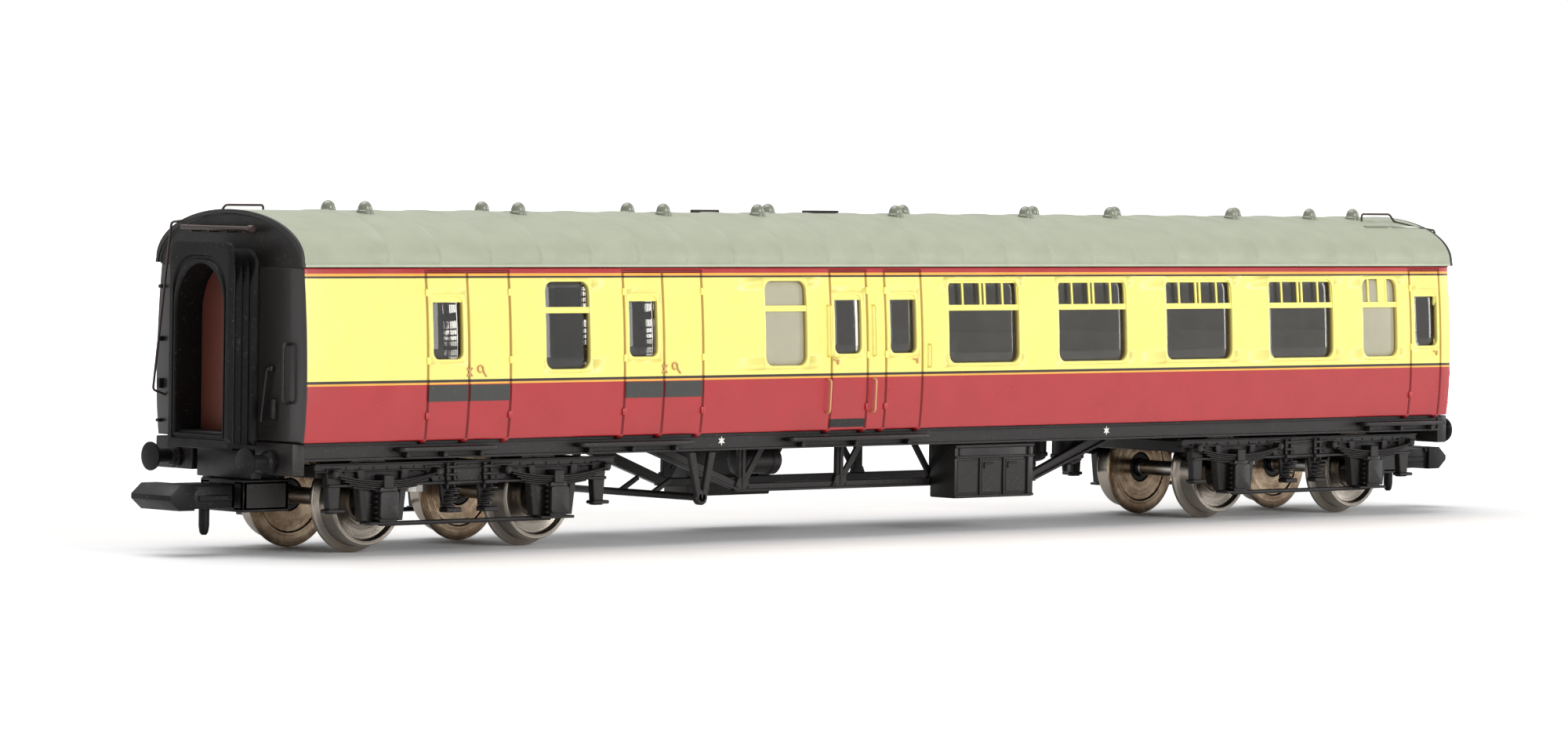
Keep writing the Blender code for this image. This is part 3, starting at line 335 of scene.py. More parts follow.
def lathe(profile, axis="Y", centre=(0, 0, 0), steps=48, closed=False):
    """A profile of (radius, place along the axis) spun round it. The mark is the radius."""
    profile = np.asarray(profile, float)
    turn = np.arange(steps) * 2 * math.pi / steps
    a = profile[:, :1] * np.cos(turn)
    b = profile[:, :1] * np.sin(turn)
    points = PLACE[axis](a, b, np.repeat(profile[:, 1:], steps, 1)) + np.asarray(centre, float)
    marks = np.repeat(profile[:, :1], steps, 1)
    quads = grid(len(profile), steps, wrap_rows=closed, wrap_columns=True)
    return Shape().add(points, quads, marks=marks)


def smoothed(path, radius, steps=4):
    """A path with each inner corner replaced by a short parabola of a given reach."""
    path = np.asarray(path, float)
    if len(path) < 3:
        return path
    t = np.linspace(0, 1, steps + 1)[:, None]
    bends = []
    for before, corner, after in zip(path, path[1:], path[2:]):
        back, on = before - corner, after - corner
        start = corner + back / np.linalg.norm(back) * radius
        end = corner + on / np.linalg.norm(on) * radius
        bends.append(start * (1 - t) ** 2 + corner * 2 * t * (1 - t) + end * t ** 2)
    return np.vstack([path[:1], *bends, path[-1:]])


def tube(path, radius, sides=10, up=(0.3, 0.2, 1.0)):
    """A round wire: circles square to the path, whose start is turned to a fixed direction."""
    path = np.asarray(path, float)
    along = np.gradient(path, axis=0)
    along /= np.linalg.norm(along, axis=1)[:, None]
    across = np.cross(along, np.asarray(up, float))
    across /= np.linalg.norm(across, axis=1)[:, None]
    other = np.cross(along, across)
    turn = np.arange(sides) * 2 * math.pi / sides
    reach = np.broadcast_to(np.asarray(radius, float), (len(path),))[:, None, None]
    points = path[:, None] + reach * (across[:, None] * np.cos(turn)[:, None]
                                      + other[:, None] * np.sin(turn)[:, None])
    return Shape().add(points, grid(len(path), sides, wrap_columns=True), end_caps(sides, len(path)))


def rounded(x, z, radius, steps=4):
    """A rectangle with round corners as an outline, anticlockwise."""
    turn = np.linspace(0, math.pi / 2, steps + 1)
    corners = ((x[1], z[1], 0), (x[0], z[1], 1), (x[0], z[0], 2), (x[1], z[0], 3))
    stretches = []
    for cx, cz, quarter in corners:
        angle = turn + quarter * math.pi / 2
        sx = 1 if quarter in (0, 3) else -1
        sz = 1 if quarter in (0, 1) else -1
        stretches.append(np.stack([cx - sx * radius + radius * np.cos(angle),
                                   cz - sz * radius + radius * np.sin(angle)], 1))
    return np.vstack(stretches)


def bar(start, end, width):
    """A straight flat bar between two points, as an outline."""
    start, end = np.asarray(start, float), np.asarray(end, float)
    along = (end - start) / np.linalg.norm(end - start)
    across = np.array([-along[1], along[0]]) * width / 2
    return np.array([start - across, end - across, end + across, start + across])


def piece(name, shape, finish, replaces=(), body="coach", angle=38.0, lining=None):
    """Puts a shape in the scene as one mesh in metres, riding on a body of the frame. A lining is
    the finish of the wall's inside."""
    points = np.concatenate(shape.points) * MM
    quads = np.concatenate(shape.quads)
    corners = np.concatenate([quads.ravel(), *shape.caps]).astype(np.int32)
    totals = np.concatenate([np.full(len(quads), 4), [len(cap) for cap in shape.caps]])
    starts = np.concatenate([[0], np.cumsum(totals)[:-1]]).astype(np.int32)
    mesh = bpy.data.meshes.new(name)
    mesh.vertices.add(len(points))
    mesh.vertices.foreach_set("co", points.ravel().astype(np.float32))
    mesh.loops.add(len(corners))
    mesh.loops.foreach_set("vertex_index", corners)
    mesh.polygons.add(len(totals))
    mesh.polygons.foreach_set("loop_start", starts)
    mark = mesh.attributes.new("mark", "FLOAT", "POINT")
    mark.data.foreach_set("value", np.concatenate(shape.marks).astype(np.float32))
    mesh.update(calc_edges=True)
    work = bmesh.new()
    work.from_mesh(mesh)
    bmesh.ops.remove_doubles(work, verts=work.verts, dist=1e-6)
    bmesh.ops.recalc_face_normals(work, faces=work.faces)
    work.to_mesh(mesh)
    work.free()
    mesh.shade_smooth()
    mesh.set_sharp_from_angle(angle=math.radians(angle))
    for one in (finish, lining) if lining else (finish,):
        mesh.materials.append(FINISHES[one])
    made = placed(name, mesh)
    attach(made, body)
    if replaces:
        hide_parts(*replaces)
    return made


def thicken(made, by, inner=0):
    """Gives an open surface its wall, inwards."""
    wall = made.modifiers.new("wall", "SOLIDIFY")
    wall.thickness = by * MM
    wall.offset = -1.0
    wall.use_rim = True
    wall.material_offset = inner
    return made


# --- the body's side ------------------------------------------------------------------------
def half_width(z):
    """Half of the body's width at a height: two parabolas that meet at the waist."""
    z = np.asarray(z, float)
    low = WAIST_HALF - (WAIST_HALF - FOOT_HALF) * ((WAIST_Z - z) / (WAIST_Z - FOOT_Z)) ** 2
    high = WAIST_HALF - (WAIST_HALF - CANTRAIL_HALF) * ((z - WAIST_Z) / (CANTRAIL_Z - WAIST_Z)) ** 2
    return np.where(z < WAIST_Z, low, high)


def roof_height(y):
    """Height of the roof's outer skin at a distance from the centre line: an ellipse."""
    share = np.clip(1 - (np.asarray(y, float) / ROOF_REACH) ** 2, 0, 1)
    return ROOF_FOOT + ROOF_RISE * np.sqrt(share)


def openings(side):
    """Limits along the coach and in height of each opening in one side (-1 near, 1 far)."""
    found = [(x, "compartment") for x in COMPARTMENTS] + [(TOILET, "toilet")]
    if side < 0:
        found += [(LUGGAGE_CLEAR, "luggage"), (LUGGAGE_OBSCURED, "luggage")]
    found += [(x, "light") for x in (NEAR_LIGHTS if side < 0 else FAR_LIGHTS)]
    return [((x - WIDTHS[kind] / 2, x + WIDTHS[kind] / 2),
             LIGHT_Z if kind == "light" else WINDOW_Z, kind) for x, kind in found]


def side_slab(side, x, z, inner, outer, rows=6):
    """A bar that follows a side's curve: its four-cornered section carried up the height."""
    up = np.linspace(z[0], z[1], rows)
    along = np.array([x[0], x[1], x[1], x[0]])
    out = np.array([outer, outer, inner, inner])
    points = np.stack([np.broadcast_to(along, (rows, 4)), side * (half_width(up)[:, None] + out),
                       np.broadcast_to(up[:, None], (rows, 4))], -1)
    return Shape().add(points, grid(rows, 4, wrap_columns=True), end_caps(4, rows))


def window_ring(side, x, z, margin, radius, rows):
    """The surround of an opening: each point goes from a rectangle flush with the side, over a
    rounded rectangle, round a small bevel and straight in. Corner points of the rectangle lie in
    the same direction as those of the round corner."""
    turn = np.linspace(0, math.pi / 2, 7)
    inner, outer = [], []
    middle = rows[(rows > z[0] + radius + 0.05) & (rows < z[1] - radius - 0.05)]
    for quarter, (sx, sz) in enumerate(((1, 1), (-1, 1), (-1, -1), (1, -1))):
        corner = np.array([x[sx > 0], z[sz > 0]])
        angle = turn + quarter * math.pi / 2
        way = np.stack([np.cos(angle), np.sin(angle)], 1)
        centre = corner - np.array([sx, sz]) * radius
        inner.append(centre + radius * way)
        outer.append(centre + (radius + margin) * way / np.abs(way).max(1)[:, None])
        if quarter in (1, 3):
            heights = middle[::-1] if quarter == 1 else middle
            inner.append(np.stack([np.full(len(heights), corner[0]), heights], 1))
            outer.append(inner[-1] + np.array([sx * margin, 0]))
    inner, outer = np.vstack(inner), np.vstack(outer)
    path = anticlockwise(inner)
    # each step gives its outline, depth and mark; the mark rises into the reveal, where the livery paints
    # shade as a darker colour
    steps = [(outer, 0.0, 0.0), (drawn_in(path, -0.1), 0.0, 0.0), (drawn_in(path, -0.03), 0.03, 0.0),
             (path, 0.1, 0.0), (path, 0.24, 0.35), (path, 0.5, 1.0)]
    rings = np.stack([line for line, _, _ in steps])
    depth, marks = np.array([step[1:] for step in steps]).T[:, :, None]
    y = side * (half_width(rings[:, :, 1]) - depth)
    points = np.stack([rings[:, :, 0], y, rings[:, :, 1]], -1)
    return Shape().add(points, grid(len(steps), len(path), wrap_columns=True),
                       marks=np.repeat(marks, len(path), 1))


def around_end(side, reach, corner):
    """Columns from one side's end round the next end's two corners: places along the coach, with
    the share and the offset of the half width for each."""
    turn = np.linspace(0, math.pi / 2, 5)[1:-1]
    across_end = np.linspace(-1, 1, 13)
    end = -side
    out = end * (reach + corner * np.sin(turn))
    fall = corner * (1 - np.cos(turn))
    ones = np.ones(len(turn))
    along = np.concatenate([out, np.full(13, end * WALL_X), out[::-1]])
    share = np.concatenate([side * ones, across_end * end, -side * ones])
    offset = np.concatenate([-side * fall, -across_end * end * corner, side * fall[::-1]])
    return along, share, offset


def body_skin():
    """The body's outer surface: a grid over the way round the plan and over the height. A column
    is a place along the coach with a share and an offset of the half width, so sides, round
    corners and ends are one formula. Door seams are columns and rows pressed in."""
    size = sizes()
    width, depth = mm(size.seam_width), mm(size.seam_depth)
    margin, corner = 0.28, 0.35
    near = width * 0.6
    line = np.array([-width, -width * 0.45, width * 0.45, width])
    doors = {-1: NEAR_DOORS, 1: FAR_DOORS}
    rows = [np.linspace(FOOT_Z, CANTRAIL_Z, 20), [FOOT_Z + 0.12, DOOR_TOP - width, DOOR_TOP + width],
            DOOR_TOP + line]
    rows += [[low - margin, high + margin] for low, high in (WINDOW_Z, LIGHT_Z)]
    rows = np.unique(np.round(np.concatenate(rows), 3))
    columns, share, offset, pressed, side_of = [], [], [], [], []
    reach = WALL_X - corner
    for side in (-1, 1):
        seams = np.unique(np.round([edge for door in doors[side] for edge in door], 3))
        xs = [np.linspace(-reach, reach, 40)]
        xs += [[x[0] - margin, x[1] + margin] for x, z, kind in openings(side)]
        xs += [seam + line for seam in seams]
        xs = np.unique(np.round(np.concatenate(xs), 3))[::-side]
        deep = (np.abs(xs[:, None] - seams) < near).any(1).astype(float)
        along, part, shift = around_end(side, reach, corner)
        rest = np.zeros(len(along))
        columns += [xs, along]
        share += [np.full(len(xs), float(side)), part]
        offset += [np.zeros(len(xs)), shift]
        pressed += [deep, rest]
        side_of += [np.full(len(xs), side), rest]
    columns, share, offset, pressed, side_of = map(np.concatenate,
                                                   (columns, share, offset, pressed, side_of))
    top = np.abs(rows - DOOR_TOP) < near
    upright = (rows > FOOT_Z + 0.1) & (rows < DOOR_TOP + near)
    within = np.zeros(len(columns), bool)
    for side in (-1, 1):
        for low, high in doors[side]:
            within |= (side_of == side) & (columns > low - near) & (columns < high + near)
    groove = np.maximum(upright[:, None] * pressed, (top[:, None] & within).astype(float))
    y = share * half_width(rows)[:, None] + offset - np.sign(share) * groove * depth
    points = np.stack([np.broadcast_to(columns, y.shape), y,
                       np.broadcast_to(rows[:, None], y.shape)], -1).reshape(-1, 3)
    quads = grid(len(rows), len(columns), wrap_columns=True)
    middle = points[quads].mean(1)
    kept = np.ones(len(quads), bool)
    skin = Shape()
    for side in (-1, 1):
        for x, z, kind in openings(side):
            inside = (middle[:, 0] > x[0] - margin) & (middle[:, 0] < x[1] + margin)
            inside &= (middle[:, 2] > z[0] - margin) & (middle[:, 2] < z[1] + margin)
            kept &= ~(inside & (middle[:, 1] * side > 7.0))
            radius = 0.55 if kind == "light" else 0.75
            skin.join(window_ring(side, x, z, margin, radius, rows))
    # the groove depth goes along as each point's mark, which the livery uses to paint shade into the door
    # seams
    return skin.add(points, quads[kept], marks=groove)


# --- shared effects ---------------------------------------------------------------------------
def effect(name, inputs, outputs):
    """A new shader node group with named sockets; returns it with its two end nodes."""
    group = bpy.data.node_groups.new(name, "ShaderNodeTree")
    for title, kind, default in inputs:
        socket = group.interface.new_socket(name=title, in_out="INPUT", socket_type="NodeSocket" + kind)
        if default is not None:
            socket.default_value = default
    for title, kind in outputs:
        group.interface.new_socket(name=title, in_out="OUTPUT", socket_type="NodeSocket" + kind)
    return group, group.nodes.new("NodeGroupInput"), group.nodes.new("NodeGroupOutput")


def feed(tree, socket, value):
    """Links a socket into an input, or sets the input's own value."""
    if isinstance(value, bpy.types.NodeSocket):
        tree.links.new(value, socket)
    else:
        socket.default_value = value


def wired(tree, kind, settings=None, **links):
    """A shader node with its settings made and its inputs linked or set by name, or by number as
    in _0."""
    node = tree.nodes.new("ShaderNode" + kind)
    for key, value in (settings or {}).items():
        setattr(node, key, value)
    for key, value in links.items():
        numbered = key[0] == "_" and key[1:].isdigit()
        feed(tree, node.inputs[int(key[1:]) if numbered else key.replace("_", " ")], value)
    return node


def mark_of(tree):
    """The value that each point of a mesh carries."""
    return wired(tree, "Attribute", {"attribute_name": "mark"}).outputs["Fac"]


def mixed(tree, share, first, second, blend="MIX"):
    """A colour mix node's result socket."""
    node = wired(tree, "Mix", {"data_type": "RGBA", "blend_type": blend})
    for socket, value in ((node.inputs[0], share), (node.inputs[6], first), (node.inputs[7], second)):
        whole = not isinstance(value, bpy.types.NodeSocket) and hasattr(value, "__len__")
        feed(tree, socket, (*tuple(value)[:3], 1.0) if whole else value)
    return node.outputs[2]


def sums(tree, operation, first, second=0.0):
    """A Math node's result socket."""
    return wired(tree, "Math", {"operation": operation}, _0=first, _1=second).outputs[0]


def make_effects():
    """Moulded grain, mottling with dust, and the fine rings a lathe leaves."""
    group, start, end = effect("moulded_grain", (("Vector", "Vector", None),
                               ("Scale", "Float", 3000.0), ("Lowest", "Float", 0.3),
                               ("Highest", "Float", 0.5)),
                               (("Roughness", "Float"), ("Height", "Float")))
    fine = wired(group, "TexNoise", Vector=start.outputs[0], Scale=start.outputs[1],
                 Detail=3.0)
    broad = wired(group, "TexNoise", Vector=start.outputs[0],
                  Scale=sums(group, "MULTIPLY", start.outputs[1], 0.12), Detail=2.0)
    spread = wired(group, "MapRange", Value=broad.outputs[0], From_Min=0.3,
                   From_Max=0.7, To_Min=start.outputs[2], To_Max=start.outputs[3])
    group.links.new(spread.outputs[0], end.inputs[0])
    group.links.new(fine.outputs[0], end.inputs[1])
    group, start, end = effect("mottle_and_dust", (("Vector", "Vector", None),
                               ("Colour", "Color", (0.5, 0.5, 0.5, 1.0)),
                               ("Dust", "Color", (0.5, 0.48, 0.45, 1.0)),
                               ("Amount", "Float", 0.1), ("Scale", "Float", 400.0)),
                               (("Colour", "Color"),))
    cloud = wired(group, "TexNoise", Vector=start.outputs[0], Scale=start.outputs[4],
                  Detail=4.0, Roughness=0.65)
    speck = wired(group, "TexNoise", Vector=start.outputs[0],
                  Scale=sums(group, "MULTIPLY", start.outputs[4], 9.0), Detail=2.0)
    spot = wired(group, "MapRange", Value=speck.outputs[0], From_Min=0.62,
                 From_Max=0.74, To_Min=0.0, To_Max=1.0)
    shade = wired(group, "MapRange", Value=cloud.outputs[0], From_Min=0.25,
                  From_Max=0.75, To_Min=0.92, To_Max=1.06)
    toned = wired(group, "VectorMath", {"operation": "SCALE"}, Vector=start.outputs[1],
                  Scale=shade.outputs[0])
    share = sums(group, "MULTIPLY", sums(group, "MULTIPLY", spot.outputs[0], cloud.outputs[0]),
                 start.outputs[3])
    group.links.new(mixed(group, share, toned.outputs[0], start.outputs[2]), end.inputs[0])
    group, start, end = effect("lathe_rings", (("Radius", "Float", 0.0),
                               ("Rings", "Float", 9.0)), (("Height", "Float"),))
    wave = sums(group, "SINE", sums(group, "MULTIPLY", start.outputs[0], start.outputs[1]))
    drift = wired(group, "TexNoise", {"noise_dimensions": "1D"},
                  W=sums(group, "MULTIPLY", start.outputs[0], 3.0), Scale=4.0, Detail=4.0)
    group.links.new(sums(group, "ADD", sums(group, "MULTIPLY", wave, 0.3), drift.outputs[0]),
                    end.inputs[0])


def placed_effect(tree, name, **links):
    """A node that uses one of the shared effects."""
    return wired(tree, "Group", {"node_tree": bpy.data.node_groups[name]}, **links)


def paint(name, base, rough, dust=0.1, grain=3000.0, relief=0.012, metallic=0.0, coat=0.0,
          colour_from=None, rings=False, specular=0.5, strength=0.6):
    """A finish with mottled colour, uneven gloss and a fine grain. colour_from, where given, is a
    function that builds the base colour from the material's nodes and object coordinates."""
    made = bpy.data.materials.new(name)
    made.use_nodes = True
    tree = made.node_tree
    shader = tree.nodes["Principled BSDF"]
    place = wired(tree, "TexCoord").outputs["Object"]
    look = placed_effect(tree, "moulded_grain", Vector=place, Scale=grain, Lowest=rough[0],
                         Highest=rough[1])
    first = colour_from(tree, place) if colour_from else (*tuple(base), 1.0)
    tint = placed_effect(tree, "mottle_and_dust", Vector=place, Colour=first, Amount=dust)
    height = look.outputs[1]
    if rings:
        turned = placed_effect(tree, "lathe_rings", Radius=mark_of(tree))
        height = sums(tree, "ADD", sums(tree, "MULTIPLY", height, 0.4), turned.outputs[0])
    bump = wired(tree, "Bump", Strength=strength, Distance=relief * MM, Height=height)
    for key, value in (("Base Color", tint.outputs[0]), ("Roughness", look.outputs[0]),
                       ("Normal", bump.outputs[0]), ("Metallic", metallic), ("Coat Weight", coat),
                       ("Specular IOR Level", specular)):
        feed(tree, shader.inputs[key], value)
    return made


def livery_colour(tree, place):
    """Bands by height, darker in the door seams and window reveals as painted shade, and black at the ends.
    """
    shade = colours()
    parts = wired(tree, "SeparateXYZ", Vector=place)
    share = wired(tree, "MapRange", Value=parts.outputs[2],
                  From_Min=FOOT_Z * MM, From_Max=CANTRAIL_Z * MM)
    ramp = wired(tree, "ValToRGB", Fac=share.outputs[0])
    bands = ((0.0, shade.crimson), (13.2, shade.lining), (13.36, shade.black_line),
             (13.56, shade.cream), (21.48, shade.black_line), (21.63, shade.lining),
             (21.83, shade.crimson))
    stops = ramp.color_ramp
    stops.interpolation = "CONSTANT"
    for k, (height, tone) in enumerate(bands):
        where = max(0.0, (height - FOOT_Z) / (CANTRAIL_Z - FOOT_Z))
        stop = stops.elements[k] if k < 2 else stops.elements.new(where)
        stop.position = where
        stop.color = (*tuple(tone), 1.0)
    # painted shade: a point's mark (seam groove depth, window reveal depth) darkens the paint towards brown
    # in place of the shade inside the recess
    mark = mark_of(tree)
    seam = sums(tree, "MULTIPLY", sums(tree, "SMOOTH_MIN", mark, 1.0), 0.85)
    recess_shaded = mixed(tree, seam, ramp.outputs[0], (0.36, 0.14, 0.07), "MULTIPLY")
    along = sums(tree, "ABSOLUTE", parts.outputs[0])
    at_end = sums(tree, "GREATER_THAN", along, (WALL_X - 0.16) * MM)
    return mixed(tree, at_end, recess_shaded, srgb(45, 42, 41))


def roof_colour(tree, place):
    """Grey-green, with black ends and a paler band along the eaves lip that is a painted highlight."""
    shade = colours()
    parts = wired(tree, "SeparateXYZ", Vector=place)
    along = sums(tree, "ABSOLUTE", parts.outputs[0])
    at_end = sums(tree, "GREATER_THAN", along, (ROOF_X - 0.3) * MM)
    # painted highlight: the lip at the foot of the roof is made a quarter paler in place of the light it
    # catches
    eaves_lip_highlight = sums(tree, "LESS_THAN", parts.outputs[2], (ROOF_FOOT + 0.16) * MM)
    pale = mixed(tree, eaves_lip_highlight, shade.roof, tuple(min(1.0, c * 1.25) for c in shade.roof))
    return mixed(tree, at_end, pale, shade.black)


def wheel_colour(tree, place):
    """Bright turned metal, with a stained brown back."""
    parts = wired(tree, "SeparateXYZ", Vector=place)
    across = sums(tree, "ABSOLUTE", parts.outputs[1])
    back = sums(tree, "LESS_THAN", across, (WHEEL_BACK + 0.16) * MM)
    cloud = wired(tree, "TexNoise", Vector=place, Scale=700.0, Detail=6.0,
                  Roughness=0.7)
    stain = wired(tree, "MapRange", Value=cloud.outputs[0], From_Min=0.4,
                  From_Max=0.62)
    brown = mixed(tree, stain.outputs[0], srgb(142, 119, 98), srgb(188, 168, 142))
    return mixed(tree, back, colours().nickel, brown)


def clear_pane(name, tone, rough, transmission):
    """Moulded clear plastic: a plain transmission with a faint waviness."""
    made = paint(name, tone, rough, 0.05, 900.0, 0.01, strength=0.3)
    shader = made.node_tree.nodes["Principled BSDF"]
    shader.inputs["Transmission Weight"].default_value = transmission
    shader.inputs["IOR"].default_value = 1.46
    return made


FINISHES = {}


def make_finishes():
    """Every finish of the coach, by name."""
    shade = colours()
    make_effects()
    FINISHES.update(
        livery=paint("livery_paint", shade.cream, (0.26, 0.4), 0.012, 2600.0, 0.008, coat=0.15,
                     colour_from=livery_colour),
        cream=paint("cream_bars", shade.cream, (0.3, 0.42), 0.05, 2600.0, 0.008),
        crimson=paint("crimson_fittings", shade.crimson, (0.3, 0.42), 0.05, 2600.0, 0.008),
        roof=paint("roof_paint", shade.roof, (0.42, 0.56), 0.08, 2200.0, 0.008,
                   colour_from=roof_colour),
        vent=paint("ventilator_paint", [c * 0.6 for c in shade.roof], (0.14, 0.26), 0.1, 2200.0, 0.01,
                   coat=0.3),
        black=paint("black_moulding", shade.black, (0.34, 0.52), 0.12, 2400.0, 0.01, specular=0.36),
        inside=paint("inner_wall", srgb(120, 114, 106), (0.5, 0.7), 0.1, 1500.0, 0.01),
        rubber=paint("gangway_moulding", shade.rubber, (0.4, 0.58), 0.12, 2400.0, 0.008, specular=0.2),
        door=paint("door_paint", shade.door, (0.3, 0.45), 0.1, 1600.0, 0.012),
        patch=paint("grey_panel_paint", shade.patch, (0.4, 0.55), 0.1, 2600.0, 0.01),
        brass=paint("brass_paint", shade.brass, (0.25, 0.4), 0.05, 2600.0, 0.006),
        seat=paint("seat_moulding", shade.seat, (0.5, 0.7), 0.1, 1500.0, 0.012),
        steel=paint("bright_steel", srgb(186, 184, 180), (0.2, 0.36), 0.1, 1500.0, 0.012,
                    metallic=1.0, rings=True),
        wheel=paint("wheel_metal", shade.nickel, (0.16, 0.34), 0.35, 900.0, 0.03, metallic=1.0,
                    colour_from=wheel_colour, rings=True),
        wire=paint("brown_black_wire", srgb(58, 44, 40), (0.3, 0.45), 0.1, 2400.0, 0.006),
        white=paint("white_mark", srgb(225, 225, 220), (0.5, 0.6), 0.05, 2600.0, 0.004),
        glass=clear_pane("smoked_pane", srgb(244, 243, 240), (0.01, 0.03), 1.0),
        frosted=clear_pane("frosted_pane", tuple(shade.frosted), (0.35, 0.5), 0.25),
    )


# --- making the pieces --------------------------------------------------------------------------
def window_bar(side, x, z, rows, behind=0.0):
    """A bar across or up an opening, from behind the pane's face to just inside the side."""
    return side_slab(side, x, z, -mm(sizes().pane_depth) - 0.05, -0.1 - behind, rows)


def window_bars():
    """The glazing bars of every opening, by its kind."""
    bars = Shape()
    rail = {"compartment": (18.68, 19.16), "toilet": (18.68, 19.16), "luggage": (18.72, 19.2)}
    uprights = {"compartment": ((0.0, 0.11), (0.215, 0.1), (0.47, 0.12), (0.53, 0.12), (0.785, 0.1),
                                (1.0, 0.11)),
                "toilet": ((0.0, 0.11), (0.2, 0.11), (0.5, 0.11), (0.72, 0.11))}
    for side in (-1, 1):
        for (low, high), z, kind in openings(side):
            if kind == "light":
                bars.join(window_bar(side, (low, high), (z[1] - 0.42, z[1] + 0.1), 3))
                continue
            bars.join(window_bar(side, (low - 0.1, high + 0.1), rail[kind], 3))
            for share, half in uprights.get(kind, ()):
                at = low + (high - low) * share
                bars.join(window_bar(side, (at - half, at + half), (19.0, 21.3), 5, 0.04))
            if kind == "compartment":
                bars.join(window_bar(side, (low, high), (20.98, 21.3), 2, 0.04))
            if kind == "toilet":
                bars.join(window_bar(side, (low + 2.2, low + 3.3), (19.1, 21.3), 5, 0.08))
    return bars


def make_body():
    """Body skin with its wall, then the fittings on the doors."""
    made = piece("body", body_skin(), "livery", ("body_shell",), angle=30.0, lining="inside")
    thicken(made, mm(sizes().skin), 1)
    piece("window_bars", window_bars(), "cream")
    upper, lower = [], []
    for side, doors in ((-1, NEAR_DOORS), (1, FAR_DOORS)):
        hung = (doors[0][0], doors[1][1], doors[2][0], doors[3][1], doors[4][1], doors[5][0],
                doors[6][0])
        for seam in hung:
            for z, group in ((20.4, upper), (15.1, upper), (10.8, lower)):
                y = side * float(half_width(z))
                group.append(((seam - 0.2, seam + 0.2), (y - side * 0.2, y + side * 0.16),
                              (z - 0.3, z + 0.3)))
    piece("upper_hinges", soft_boxes(upper, 0.1, 2), "cream")
    piece("lower_hinges", soft_boxes(lower, 0.1, 2), "crimson")
    make_door_fittings()


def make_door_fittings():
    """Grey panels, levers, handles, grab rails and the guard's step."""
    panels, brass, rails = Shape(), Shape(), Shape()
    for side in (-1, 1):
        for seam in DOUBLE_DOORS[side]:
            for low, high in ((seam - 4.1, seam - 0.12), (seam + 0.12, seam + 4.15)):
                panels.join(side_slab(side, (low, high), (11.91, 13.19), -0.05, 0.03, 5))
            y = side * (float(half_width(14.3)) + 0.08)
            for way in (-1, 1):
                brass.join(tube([(seam - 0.26 * way, y, 13.86), (seam + 0.26 * way, y, 14.5)], 0.06))
            brass.join(tube([(seam, y, 13.8), (seam, y, 14.62)], 0.06, up=(1, 0, 0)))
            turn = np.linspace(-0.3, 1.6 * math.pi, 15)
            loop = np.stack([seam + 1.1 + 0.27 * np.cos(turn), np.full(15, y),
                             14.42 + 0.27 * np.sin(turn)], 1)
            tail = [(seam + 1.72, y, 13.82), (seam + 1.46, y, 14.12)]
            brass.join(tube(smoothed(np.vstack([tail, loop]), 0.04), 0.065, up=(0, 1, 0)))
    for side in (-1, 1):
        guard = GUARD_DOORS[side]
        for x, hand in ((guard[0] + 0.65, -1), (64.3, -1), (-1.25, -1)):
            y = side * (float(half_width(14.6)) + 0.1)
            brass.join(soft_box((x - 0.1, x + 0.1), (y - 0.3 * side, y + 0.06 * side),
                                (14.3, 14.75), 0.07, 2))
            brass.join(tube([(x, y + 0.08 * side, 14.66), (x + 0.55 * hand, y + 0.08 * side, 14.72)],
                            0.06))
    reach = 0.42
    for side in (-1, 1):
        left, right = GUARD_DOORS[side][0] - 0.42, GUARD_DOORS[side][1] + 0.62
        for x, low, high, soft in ((left, 10.35, 13.1, 0), (left, 15.0, 19.2, 1),
                                   (right, 10.35, 13.1, 0), (right, 15.0, 19.2, 1), (0.1, 14.0, 15.9, 1)):
            heights = np.array([high, high, low, low])
            out = half_width(heights) + np.array([-0.1, reach, reach, -0.1])
            path = np.stack([np.full(4, x), side * out, heights], 1)
            target = rails if soft else brass
            target.join(tube(smoothed(path, 0.3), 0.085, 8, (1, 0, 0)))
    piece("grey_panels", panels, "patch")
    piece("levers_and_handles", brass, "brass")
    piece("door_rails", rails, "cream")
    steps = Shape()
    for side in (-1, 1):
        low, high = GUARD_DOORS[side]
        steps.join(side_slab(side, (low + 0.1, high - 0.1), (9.13, 9.82), -0.05, 0.025, 3))
    piece("door_steps", steps, "black")


